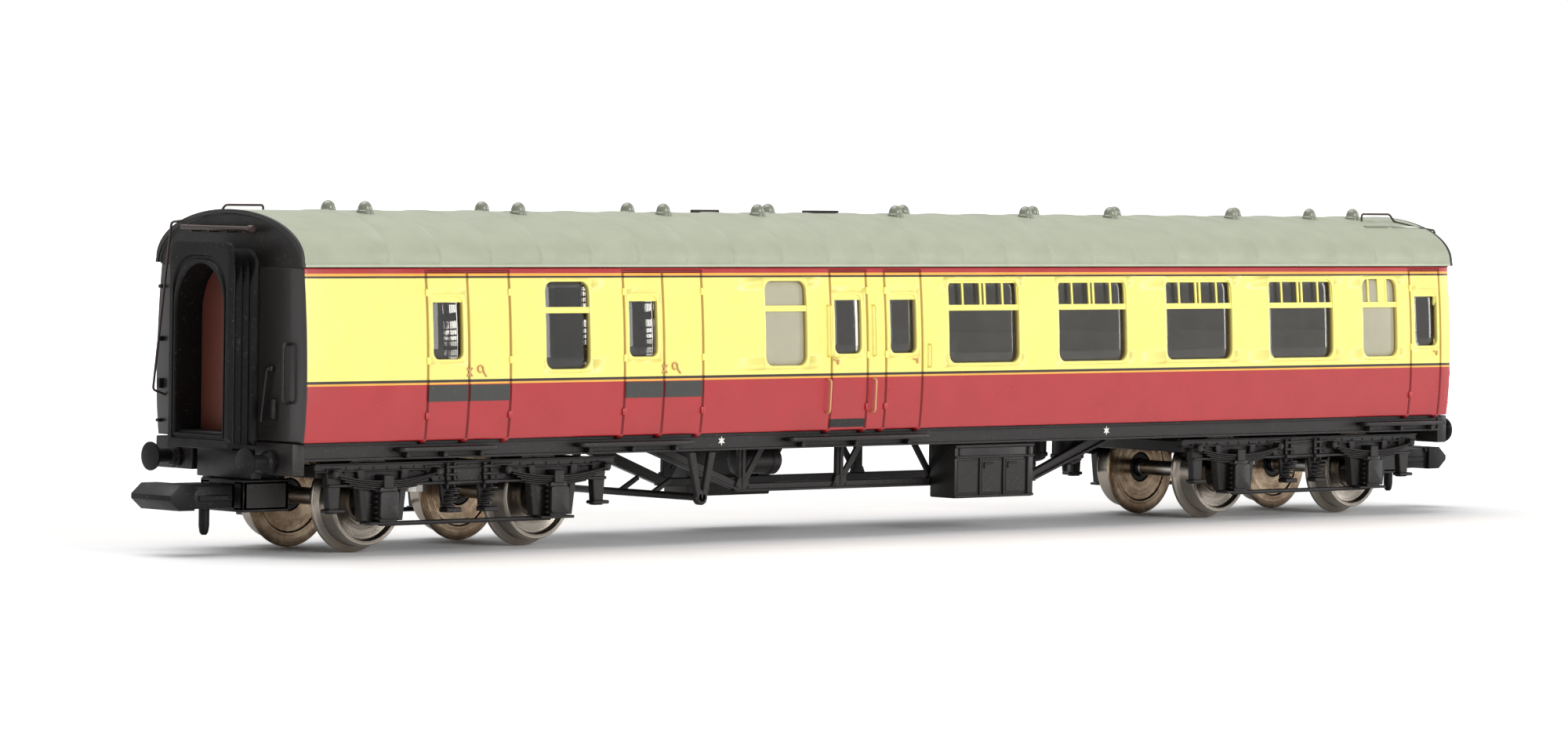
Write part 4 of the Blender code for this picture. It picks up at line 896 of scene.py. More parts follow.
def roof_shell():
    """The roof's skin: a grid along the coach and round the ellipse, lifted at each rib, with a
    square lip at the eaves and the ends, carried back along the inside."""
    size = sizes()
    half, lift = mm(size.rib_width) / 2, mm(size.rib_height)
    ribs = RIB_START + RIB_PITCH * np.arange(RIB_COUNT)
    xs = [np.linspace(-ROOF_X, ROOF_X, 40), [ROOF_X - 0.12, 0.12 - ROOF_X, ROOF_X - 0.6, 0.6 - ROOF_X]]
    xs += [rib + half * np.array([-1.6, -0.8, 0.0, 0.8, 1.6]) for rib in ribs]
    xs = np.unique(np.round(np.concatenate(xs), 3))
    near_rib = np.abs(xs[:, None] - ribs).min(1)
    raised = lift * np.clip(1.5 - near_rib / half, 0, 1)
    raised = np.where(np.abs(xs) > ROOF_X - 0.55, 0.04, raised)[:, None]
    at_end = np.abs(xs) > ROOF_X - 0.3
    turn = np.linspace(0, math.pi, ARCH_POINTS)
    rise = ROOF_RISE + np.minimum(raised, 0.07) - 0.03
    y = (ROOF_REACH - 0.1 + raised) * np.cos(turn)
    z = ROOF_FOOT + 0.34 + (rise - 0.34) * np.sin(turn) ** 0.97
    lip = np.full(len(xs), ROOF_REACH)
    eaves = np.stack([ROOF_REACH - np.where(at_end, 0.28, 0.75), lip, lip], 1)
    heights = np.tile([ROOF_FOOT, ROOF_FOOT, ROOF_FOOT + 0.22], (len(xs), 1))
    turn_in = np.linspace(math.pi, 0, 33)
    thick = np.where(at_end, 0.3, 0.8)[:, None]
    ys = np.concatenate([eaves, y, -eaves[:, ::-1], (ROOF_REACH - thick) * np.cos(turn_in)], 1)
    zs = np.concatenate([heights, z, heights[:, ::-1],
                         ROOF_FOOT + (ROOF_RISE - thick) * np.sin(turn_in)], 1)
    rows, columns = ys.shape
    points = np.stack([np.broadcast_to(xs[:, None], ys.shape), ys, zs], -1)
    return Shape().add(points, grid(rows, columns, wrap_columns=True), end_caps(columns, rows))


def make_roof():
    """The ribbed roof, the walls that close its ends, its ventilators, strips and conduit."""
    piece("roof_shell", roof_shell(), "roof", ("roof",), angle=32.0)
    turn = np.linspace(0, math.pi, ARCH_POINTS)
    bow = np.stack([(ROOF_REACH - 0.34) * np.cos(turn), ROOF_FOOT - 0.1 + 4.04 * np.sin(turn)], 1)
    ends = Shape().join(*(plate(bow, end * (WALL_X + 0.03), end * (WALL_X - 1.0), "X", 0.02)
                          for end in (-1, 1)))
    piece("roof_end_walls", ends, "black")
    vents = Shape()
    radius = mm(sizes().vent_radius)
    t = np.linspace(0, math.pi / 2, 8)
    for places, y in ((NEAR_VENTS, -2.6), (FAR_VENTS, 2.6)):
        base = float(roof_height(y)) - 0.06
        dome = np.stack([radius * 0.86 * np.cos(t), base + 0.3 + (VENT_TOP - base - 0.3) * np.sin(t)], 1)
        profile = np.vstack([[(0, base - 0.3), (radius, base - 0.3), (radius, base + 0.18),
                              (radius * 0.92, base + 0.24)], dome])
        vents.join(*(lathe(profile, "Z", (x, y, 0), 28) for x in places))
    piece("ventilators", vents, "vent", angle=40.0)
    crest = float(roof_height(0.0))
    strips = Shape()
    for x, long in ((-15.7, 2.9), (-2.5, 3.9)):
        strips.join(soft_box((x - long / 2, x + long / 2), (1.0, 1.5), (crest - 0.4, crest + 0.2), 0.06))
    piece("roof_strips", strips, "black")
    y = -5.6
    z = float(roof_height(y))
    conduit = soft_box((58.6, 65.9), (y - 0.28, y + 0.28), (z - 0.15, z + 0.16), 0.1, 2)
    piece("roof_conduit", conduit, "vent")


def make_glazing():
    """Panes that fill the openings, on the clear strip behind each side."""
    size = sizes()
    depth = mm(size.pane_depth)
    clear, frosted, guards = Shape(), Shape(), Shape()
    for side in (-1, 1):
        for x, z, kind in openings(side):
            obscured = kind == "toilet" or (kind == "luggage" and x[0] > -20)
            target = frosted if obscured else clear
            target.join(pane(side, (x[0] - 0.06, x[1] + 0.06), (z[0] - 0.06, z[1] + 0.06), depth))
            barred = min(abs((x[0] + x[1]) / 2 - at) for at in FAR_LIGHTS[:BARRED_LIGHTS]) < 0.1
            if side > 0 and kind == "light" and barred:
                guards.join(guard_grid(side, x, z, depth + 0.75))
    piece("panes", clear, "glass", ("glazing_compartment_side", "glazing_corridor_side"))
    piece("frosted_panes", frosted, "frosted")
    piece("window_guards", guards, "black")


def pane(side, x, z, depth):
    """A moulded pane. Its plan is a line that curves back near both ends by the square of the way
    into a border, closed by a flat back, and it is carried up the height of the side."""
    border = min(1.5, (x[1] - x[0]) * 0.42)
    share = np.linspace(0, math.pi, 25)
    along = (x[0] + x[1]) / 2 - (x[1] - x[0]) / 2 * np.cos(share)
    reach = np.minimum(along - x[0], x[1] - along)
    back = 0.2 * np.clip(1 - reach / border, 0, 1) ** 2
    up = np.linspace(z[0], z[1], 22)
    rise = np.minimum(up - z[0], z[1] - up)
    lean = 0.16 * np.clip(1 - rise / 0.7, 0, 1) ** 2
    plan_x = np.concatenate([along, [x[1], x[0]]])
    plan_y = np.concatenate([-depth - back, [-depth - 0.5] * 2])
    falls = np.concatenate([np.ones(25), np.zeros(2)])
    out = half_width(up)[:, None] + plan_y - lean[:, None] * falls
    rows, columns = len(up), len(plan_x)
    points = np.stack([np.broadcast_to(plan_x, (rows, columns)), side * out,
                       np.broadcast_to(up[:, None], (rows, columns))], -1)
    return Shape().add(points, grid(rows, columns, wrap_columns=True), end_caps(columns, rows))


def guard_grid(side, x, z, depth):
    """Protective bars behind a luggage door's light: even uprights, and cross bars in two groups."""
    y = side * (float(half_width(z[1])) - depth)
    boxes = []
    for share in np.linspace(0, 1, 7):
        at = x[0] + (x[1] - x[0]) * share
        boxes.append(((at - 0.08, at + 0.08), (y - 0.08, y + 0.08), (z[0], z[1])))
    closed = ((0.0, 0.07), (0.14, 0.17), (0.23, 0.26), (0.33, 0.36), (0.48, 0.62), (0.75, 0.78),
              (0.85, 0.88), (0.96, 1.0))
    for low, high in closed:
        boxes.append(((x[0], x[1]), (y - 0.07, y + 0.07),
                      (z[0] + (z[1] - z[0]) * low, z[0] + (z[1] - z[0]) * high)))
    return soft_boxes(boxes, 0.05)


def upright_outline(half, foot, spring, head):
    """An outline up one jamb, over the points of a head and down the other jamb."""
    right = np.linspace(foot, spring, 8)[:-1]
    left = np.linspace(spring, foot, 8)[1:]
    return np.vstack([np.stack([np.full(7, half), right], 1), head,
                      np.stack([np.full(7, -half), left], 1)])


def arch_line(half, foot, spring, crown):
    """An outline with an elliptical head."""
    turn = np.linspace(0, math.pi, ARCH_POINTS)
    head = np.stack([half * np.cos(turn), spring + (crown - spring) * np.sin(turn)], 1)
    return upright_outline(half, foot, spring, head)


def gangway_frame(end, foot, crown, half, back, front):
    """A ring between an outer and an inner arch, whose section goes out along folds, over a thin
    edge, across the face and back along the jamb. The outer arch has a squarer head, whose sine
    and cosine are raised to powers below one."""
    turn = np.linspace(0, math.pi, ARCH_POINTS)
    cos, sin = np.cos(turn), np.sin(turn)
    rise = 1.0
    head = np.stack([half * (np.sign(cos) * np.abs(cos) ** 0.26),
                     crown - rise + rise * np.abs(sin) ** 0.5], 1)
    outer = upright_outline(half, foot, crown - rise, head)
    inner = arch_line(3.0, foot + 1.15, crown - 5.6, crown - 1.72)
    deep = front - end * 0.42 - back
    steps = [(0.25, back)]
    for share in np.linspace(0.1, 0.9, 7):
        steps.append((0.3 if round(share * 7.5) % 2 else 0.62, back + deep * share))
    steps += [(share, front - end * off) for share, off in
              ((0.4, 0.44), (0.0, 0.4), (0.0, 0.1), (0.08, 0.02), (0.16, 0), (0.62, 0), (0.66, 0.16),
               (0.78, 0.16), (0.82, 0), (0.93, 0), (0.99, 0.12), (1.0, 0.3))]
    steps.append((1.0, back))
    rings = np.stack([outer * (1 - share) + inner * share for share, x in steps])
    x = np.repeat(np.array([[x] for share, x in steps]), len(outer), 1)
    points = np.stack([x, rings[:, :, 0], rings[:, :, 1]], -1)
    return Shape().add(points, grid(len(steps), len(outer), wrap_rows=True, wrap_columns=True))


def end_fittings(name, end):
    """The lamp rail with its props, the brackets and the pipe on one end."""
    turned = -end
    reach = end * (WALL_X + 0.85)
    rail_z = CANTRAIL_Z + 2.9
    rail = tube([(reach, turned * -3.5, rail_z), (reach, turned * 5.1, rail_z)], 0.21, 12)
    rail.join(lathe([(0, -0.3), (0.26, -0.3), (0.3, -0.2), (0.3, 0.2), (0.26, 0.3), (0, 0.3)], "Y",
                    (reach, turned * -3.5, rail_z), 16))
    props = [((end * (WALL_X - 0.1), reach), (turned * y - 0.14, turned * y + 0.14),
              (rail_z - 0.34, rail_z + 0.05)) for y in (-2.6, -0.4, 1.8, 4.0)]
    piece(f"lamp_rail_{name}", rail.join(soft_boxes(props, 0.05)), "wire")
    fittings = [((end * (WALL_X - 0.1), end * (WALL_X + 0.42)), (turned * y - wide, turned * y + wide),
                 (z - tall, z + tall))
                for y, z, wide, tall in ((8.45, 20.5, 0.22, 0.16), (8.5, 16.4, 0.22, 0.2),
                                         (8.5, 12.9, 0.22, 0.4), (8.6, 10.0, 0.24, 0.14),
                                         (-5.3, 14.5, 0.4, 0.22), (-5.7, 11.4, 0.36, 0.8))]
    piece(f"end_brackets_{name}", soft_boxes(fittings, 0.12, 2), "black")
    path = [(end * (WALL_X + out), turned * y, z)
            for out, y, z in ((-0.05, -5.3, 14.6), (0.5, -5.3, 14.5), (0.5, -4.6, 10.4))]
    piece(f"end_pipes_{name}", tube(smoothed(path, 0.3), 0.13, 10, (0, 1, 0)), "black")


def make_gangways():
    """The deep frame, the corridor door and the sill at each end, then the end's fittings."""
    for name, end, _ in ENDS:
        low, high = node_box(f"gangway_{name}")
        foot, crown = low[2], high[2]
        back, front = end * (WALL_X + 0.08), end * node_reach(f"gangway_{name}")[1]
        piece(f"gangway_frame_{name}", gangway_frame(end, foot, crown, high[1], back, front), "rubber",
              (f"gangway_{name}",), angle=35.0)
        panel = arch_line(2.94, foot + 1.17, crown - 5.6, crown - 1.78)
        piece(f"corridor_door_panel_{name}", plate(panel, back, back + end * 0.4, "X", 0.08, 2), "door",
              (f"corridor_door_{name}",))
        sill = soft_box((back, front - end * 0.4), (-2.98, 2.98), (foot + 0.9, foot + 1.35), 0.1)
        piece(f"gangway_sill_{name}", sill, "rubber")
        end_fittings(name, end)


def make_underframe():
    """Floor, channel solebars, headstocks, bolster pads and footboards in one moulding."""
    edge = mm(sizes().edge)
    top = FOOT_Z - 0.08
    inside = WALL_X - 1.08
    shape = Shape()
    shape.join(soft_box((-inside, inside), (-8.2, 8.2), (FLOOR_FOOT, FLOOR_HEAD), 0.05))
    beam_in, beam_out = HEADSTOCK_X - 1.2, HEADSTOCK_X
    section = [(0.0, SOLEBAR_FOOT), (0.8, SOLEBAR_FOOT), (0.8, SOLEBAR_FOOT + 0.16),
               (0.66, SOLEBAR_FOOT + 0.2), (0.66, top - 0.24), (0.8, top - 0.2), (0.8, top), (0.0, top)]
    for side in (-1, 1):
        channel = [(side * (SOLEBAR_OUT - 0.8 + y), z) for y, z in section]
        shape.join(plate(channel, -beam_in - 0.1, beam_in + 0.1, "X", 0.04))
        for x, long in ((-52.0, 9.9), (-32.3, 12.2), (-7.6, 16.0), (60.3, 11.0)):
            low, high = sorted((side * (SOLEBAR_OUT - 0.1), side * (SOLEBAR_OUT + 1.2)))
            board = rounded((x - long / 2, x + long / 2), (low, high), 0.5)
            shape.join(plate(board, SOLEBAR_FOOT + 0.6, SOLEBAR_FOOT + 0.95, "Z", 0.08, 2))
            brackets = [((x + long * t - 0.2, x + long * t + 0.2),
                         (side * (SOLEBAR_OUT - 0.1), side * (SOLEBAR_OUT + 0.5)),
                         (SOLEBAR_FOOT + 0.1, SOLEBAR_FOOT + 0.65)) for t in (-0.38, 0.0, 0.38)]
            shape.join(soft_boxes(brackets, 0.06))
    panel_foot = FLOOR_LOW[2]
    beam_foot = panel_foot + 0.45
    for end in (-1, 1):
        for low, high in ((-SOLEBAR_OUT, -3.91), (3.91, SOLEBAR_OUT)):
            shape.join(soft_box((end * beam_in, end * beam_out), (low, high), (beam_foot, top), edge, 2))
        shape.join(soft_box((end * beam_in, end * (WALL_X - 0.02)), (-4.0, 4.0), (beam_foot, top), 0.05))
        shape.join(soft_box((end * (beam_in + 0.06), end * (beam_out - 0.06)), (-3.4, 3.4),
                            (panel_foot, 8.1), edge, 2))
        x = end * BOGIE_XS[1]
        pad = [(0, FLOOR_FOOT + 0.1), (2.6, FLOOR_FOOT + 0.1), (2.6, BOGIE_HIGH[2] + 0.08),
               (1.08, BOGIE_HIGH[2] + 0.08), (1.08, FLOOR_FOOT + 0.1)]
        shape.join(lathe(pad, "Z", (x, 0, 0), 40))
    piece("underframe_moulding", shape, "black", ("underframe",))
    stars = Shape()
    for x in (-22.3, 22.65):
        turn = np.arange(12) * math.pi / 6 + math.pi / 2
        radius = np.where(np.arange(12) % 2 == 0, 0.42, 0.18)
        star = np.stack([x + radius * np.cos(turn), 8.22 + radius * np.sin(turn)], 1)
        for side in (-1, 1):
            face = side * (SOLEBAR_OUT - 0.14)
            stars.join(plate(star, face - side * 0.02, face + side * 0.03, "Y", 0.005))
    piece("white_stars", stars, "white")


def make_trusses():
    """The trussing under each side: bars of flat section with flanges, rivets and braces."""
    for name, side in SIDES:
        node = f"truss_{name}_side"
        low, high = node_box(node)
        inner, outer = (side * reach for reach in node_reach(node, 1))
        foot, top, end = low[2], high[2], high[0]
        flat = end - 12.0
        level = foot + 0.35
        shape = Shape()
        chord = [(-flat, foot), (flat, foot), (end, top - 0.75), (end, top), (end - 1.3, top),
                 (flat - 0.36, foot + 0.7), (0.36 - flat, foot + 0.7), (1.3 - end, top), (-end, top),
                 (-end, top - 0.75)]
        flange = [(-flat, foot), (flat, foot), (end, top - 0.75), (end, top - 0.45),
                  (flat - 0.1, foot + 0.22), (0.1 - flat, foot + 0.22), (-end, top - 0.45),
                  (-end, top - 0.75)]
        shape.join(plate(chord, inner, outer - side * 0.22, "Y", 0.08),
                   plate(flange, inner + side * 0.1, outer, "Y", 0.05))
        rivets = []
        for post in (-16.65, -5.55, 5.55, 16.65):
            shape.join(soft_box((post - 0.42, post + 0.42), (inner + side * 0.12, outer - side * 0.12),
                                (level - 0.1, top), 0.08))
            shape.join(soft_box((post - 0.12, post + 0.12), (outer - side * 0.3, outer), (level, top),
                                0.05))
            lean = 3.2 if post < 0 else -3.2
            shape.join(plate(bar((post, level), (post + lean, top - 0.1), 0.6),
                             inner + side * 0.2, outer - side * 0.25, "Y", 0.06))
            gusset = [(post - 1.0, foot + 0.1), (post + 1.0, foot + 0.1), (post + 0.5, foot + 1.2),
                      (post - 0.5, foot + 1.2)]
            shape.join(plate(gusset, inner + side * 0.15, outer - side * 0.05, "Y", 0.05))
            rivets += [(post + dx, foot + dz) for dx, dz in ((-0.6, 0.35), (0.6, 0.35), (0, 0.9))]
        for x, z in rivets:
            shape.join(rivet(x, outer - side * 0.06, z, side))
        piece(f"trussing_{name}_side", shape, "black", (node,))


def rivet(x, y, z, side, radius=0.13, tall=0.09):
    """A small domed head on a face that looks along Y: circles of falling radius."""
    turn = np.arange(8) * math.pi / 4
    radii = np.array([radius, radius, radius * 0.6])[:, None]
    out = np.array([-0.05, tall * 0.5, tall])[:, None]
    points = np.stack([x + radii * np.cos(turn), np.broadcast_to(y + side * out, (3, 8)),
                       z + radii * np.sin(turn)], -1)
    return Shape().add(points, grid(3, 8, wrap_columns=True), end_caps(8, 3))


def battery_box(name, side):
    """A box with a ribbed face: rails, posts, door panels and hooked handles."""
    node = f"battery_box_{name}_side"
    low, high = node_box(node)
    inner, outer = node_reach(node, 1)
    inner, outer = side * inner, side * (outer - 0.18)
    x = (low[0] + 0.06, high[0] - 0.06)
    foot, top = low[2], high[2]
    wide = x[1] - x[0]
    shape = soft_box(x, (inner, outer), (foot, top), 0.14, 2)

    def row(shares, half, reach, z):
        return [((x[0] + wide * t - half, x[0] + wide * t + half), reach, z) for t in shares]

    rail = (-0.1, 0.14)
    rows = [(x, rail, (top - 0.32, top - 0.05)), (x, rail, (top - 1.2, top - 0.98)),
            (x, (-0.1, 0.1), (foot + 0.05, foot + 0.25))]
    rows += row((0.31, 0.61, 0.92), 0.1, (-0.1, 0.17), (foot + 0.25, top - 1.1))
    rows += row((0.155, 0.46, 0.765), wide * 0.125, (-0.1, 0.05), (foot + 0.42, top - 1.35))
    for t in (0.36, 0.66):
        at = x[0] + wide * t
        rows.append(((at, at + 1.1), (0, 0.17), (top - 1.75, top - 1.58)))
        rows.append(((at, at + 0.18), (0, 0.17), (top - 2.1, top - 1.6)))
    rows += row((0.06, 0.94), 0.16, rail, (top - 0.98, top - 0.3))
    shape.join(soft_boxes([(along, (outer + side * a, outer + side * b), z)
                           for along, (a, b), z in rows], 0.05))
    piece(f"battery_box_{name}", shape, "black", (node,))


def brake_cylinder(number):
    """An upright cylinder with a domed foot and a flanged head."""
    node = f"vacuum_cylinder_{number}"
    low, high = node_box(node)
    foot, top, r = low[2], high[2], (high[0] - low[0]) / 2
    t = np.linspace(0, math.pi / 2, 6)
    dome = np.stack([(r - 0.15) * np.sin(t), foot + 1.15 - 0.5 * np.cos(t)], 1)
    profile = np.vstack([[(0, foot), (0.4, foot), (0.45, foot + 0.6)], dome[1:],
                         [(r, foot + 1.2), (r, foot + 1.5), (r - 0.12, foot + 1.55),
                          (r - 0.12, top - 0.3), (r, top - 0.25), (r, top), (0, top)]])
    centre = ((low[0] + high[0]) / 2, (low[1] + high[1]) / 2, 0)
    piece(f"brake_cylinder_{number}", lathe(profile, "Z", centre, 40), "black", (node,))


def dynamo():
    """A turned drum that lies along the coach, hung from a lug and a rod."""
    low, high = node_box("dynamo")
    r = (high[1] - low[1]) / 2
    y, z = (low[1] + high[1]) / 2, low[2] + r
    profile = [(0, low[0]), (r * 0.4, low[0]), (r * 0.75, low[0] + 0.12), (r * 0.97, low[0] + 0.3),
               (r, low[0] + 0.5), (r, low[0] + 1.1), (r - 0.1, low[0] + 1.2), (r - 0.1, high[0] - 1.2),
               (r, high[0] - 1.1), (r, high[0] - 0.4), (r * 0.8, high[0] - 0.1), (r * 0.35, high[0]),
               (0, high[0])]
    middle = (low[0] + high[0]) / 2
    shape = lathe(profile, "X", (0, y, z), 36)
    shape.join(soft_box((middle - 0.6, middle + 0.6), (y - 0.5, y + 0.5), (z, high[2]), 0.08))
    shape.join(tube([(middle - 1.4, y, z + r - 0.1), (middle - 1.4, y, high[2])], 0.18))
    piece("dynamo_drum", shape, "black", ("dynamo",))


def brake_shaft():
    """The brake's cross shaft with a V hanger and a boss at each end, and two arms."""
    low, high = node_box("brake_cross_shaft")
    outer, x = high[1], (low[0] + high[0]) / 2
    foot, top = low[2], high[2]
    z = foot + 0.55
    shape = tube([(x, -outer + 0.1, z), (x, outer - 0.1, z)], 0.3, 14, (1, 0, 0))
    for side in (-1, 1):
        for way in (-1, 1):
            leg = [(x - way * 0.1, foot + 0.1), (x + way * 0.45, foot + 0.1), (x + way * 1.5, top),
                   (x + way * 0.75, top)]
            shape.join(plate(leg, side * outer, side * (outer - 0.45), "Y", 0.07))
        boss = ((0, 0.5), (0.62, 0.5), (0.62, 0.1), (0.35, 0), (0, 0))
        shape.join(lathe([(r, side * (outer - back)) for r, back in boss], "Y", (x, 0, z), 20))
    arm = [(x - 0.25, z), (x + 2.2, z + 1.3), (x + 2.35, z + 0.95), (x + 0.2, z - 0.25)]
    for y in (-2.0, 2.0):
        shape.join(plate(arm, y - 0.15, y + 0.15, "Y", 0.05))
    piece("brake_shaft", shape, "black", ("brake_cross_shaft",))


def make_equipment():
    """Battery boxes, vacuum cylinders, dynamo and the brake shaft with its V hangers."""
    for name, side in SIDES:
        battery_box(name, side)
    for number in (1, 2):
        brake_cylinder(number)
    dynamo()
    brake_shaft()


def make_buffers():
    """Turned buffers: a stepped base, a shank and a domed head, spun about its own line."""
    for name, end, _ in ENDS:
        for word in ("near", "far"):
            node = f"buffer_{name}_{word}"
            low, high = node_box(node)
            y, z = (low[1] + high[1]) / 2, (low[2] + high[2]) / 2
            seat, face = node_reach(node)
            r = (high[2] - low[2]) / 2
            profile = [(0, seat), (0.92, seat), (0.92, seat + 0.28), (0.8, seat + 0.34),
                       (0.7, seat + 0.62), (0.58, seat + 0.7), (0.58, face - 0.62), (r * 0.8, face - 0.5),
                       (r * 0.97, face - 0.36), (r, face - 0.28)]
            profile += [(r * s, face - 0.16 * s ** 2) for s in np.linspace(0, 1, 7)[::-1]]
            shape = lathe([(radius, end * x) for radius, x in profile], "X", (0, y, z), 40)
            piece(f"turned_{node}", shape, "rubber", (node,), angle=34.0)


def make_handrails():
    """The bent wires over the roof's corners and beside the gangways."""
    r = mm(sizes().wire)
    on_roof, top, near = 3.7, 0.65, 0.06
    for name, end, _ in ENDS:
        near_x, far_x = node_reach(f"roof_handrail_{name}")
        crest = float(roof_height(on_roof))
        line = [(near_x + r, on_roof, crest - 0.05), (near_x + r, on_roof, crest + top),
                (WALL_X - 2.3, on_roof, crest + top)]
        line += [(x, y, float(roof_height(y)) + near) for x, y in
                 ((WALL_X - 2.1, 4.1), (WALL_X - 1.7, 4.7), (WALL_X - 1.7 + 0.5, 5.3),
                  (WALL_X - 1.7 + 1.0, 5.8), (far_x - r, 6.3))]
        line += [(far_x - r, 8.4, FOOT_Z + 3.5), (WALL_X - 0.05, 8.1, FOOT_Z + 3.1)]
        path = smoothed([(end * x, -end * y, z) for x, y, z in line], 0.25, 6)
        piece(f"roof_rail_{name}", tube(path, r, 12, (0.2, 1.0, 0.35)), "wire",
              (f"roof_handrail_{name}",))
        low, high = node_box(f"grab_handle_{name}")
        out = node_reach(f"grab_handle_{name}")[1] - r
        y = (low[1] + high[1]) / 2
        grip = [(WALL_X - 0.05, y, high[2] - r), (out, y, high[2] - r), (out, y, low[2] + r),
                (WALL_X - 0.05, y, low[2] + r)]
        path = smoothed([(end * a, b, c) for a, b, c in grip], 0.35, 5)
        piece(f"end_handle_{name}", tube(path, r * 1.3, 12, (0, 1, 0)), "black",
              (f"grab_handle_{name}",))


def across(side, *reach):
    """Places on one side of a bogie, measured outwards from its frame's inner face."""
    return tuple(side * (FRAME_Y + one) for one in reach)


def leaf_spring(axle, side, eye, inner, outer):
    """Five leaves, each an arc of falling length: the middle hangs below the ends by a parabola,
    and the leaf's thickness is carried along it. A lower leaf stands further back."""
    shape = Shape()
    for k in range(5):
        t = np.linspace(-1, 1, 15) * (SPRING_HALF - 0.5 * k) / SPRING_HALF
        middle = eye - 0.6 * (1 - t ** 2) - 0.16 * k
        upper = np.stack([axle + SPRING_HALF * t, middle], 1)
        lower = np.stack([axle + SPRING_HALF * t, middle - 0.12], 1)[::-1]
        shape.join(plate(np.vstack([upper, lower]), inner, outer - side * 0.07 * k, "Y", 0.03))
    return shape


def axle_box(axle, side):
    """A ribbed axlebox with its cover, guides either side and the strap over the spring."""
    foot, head = AXLE_Z - 1.7, AXLE_Z + 1.15
    body = [(axle - 1.7, foot + 0.35), (axle - 1.4, foot), (axle + 1.4, foot),
            (axle + 1.7, foot + 0.35), (axle + 1.9, head + 0.2), (axle - 1.9, head + 0.2)]
    core = rounded((axle - 0.85, axle + 0.85), (foot + 0.1, head), 0.2)
    cover = rounded((axle - 0.95, axle + 0.95), (foot + 0.35, head - 0.3), 0.3)
    shape = Shape()
    for outline, low, high, radius in ((body, -0.25, 0.7, 0.08), (core, 0.5, 1.55, 0.08),
                                       (cover, 1.4, 1.78, 0.14)):
        shape.join(plate(outline, *across(side, low, high), "Y", radius, 2))
    ribs = [(1.12, (0.6, 1.38), (z, z + 0.17)) for z in np.linspace(foot + 0.35, head - 0.35, 6)]
    ribs += [(1.75, (0.1, 1.5), (foot - 0.06, foot + 0.16)), (0.5, (0.2, 1.62), (head - 0.1, head + 0.95))]
    shape.join(soft_boxes([((axle - half, axle + half), across(side, *reach), z)
                           for half, reach, z in ribs], 0.06))
    top = BOGIE_HIGH[2] - 0.5
    for dx in (-1.75, 1.75):
        at, lean = axle + dx, 0.5 * np.sign(dx)
        guide = [(at - 0.28, foot + 0.2), (at + 0.28, foot + 0.2), (at + 0.34 + lean, top),
                 (at - 0.34 + lean, top)]
        shape.join(plate(guide, *across(side, 0.05, 0.85), "Y", 0.06))
    return shape


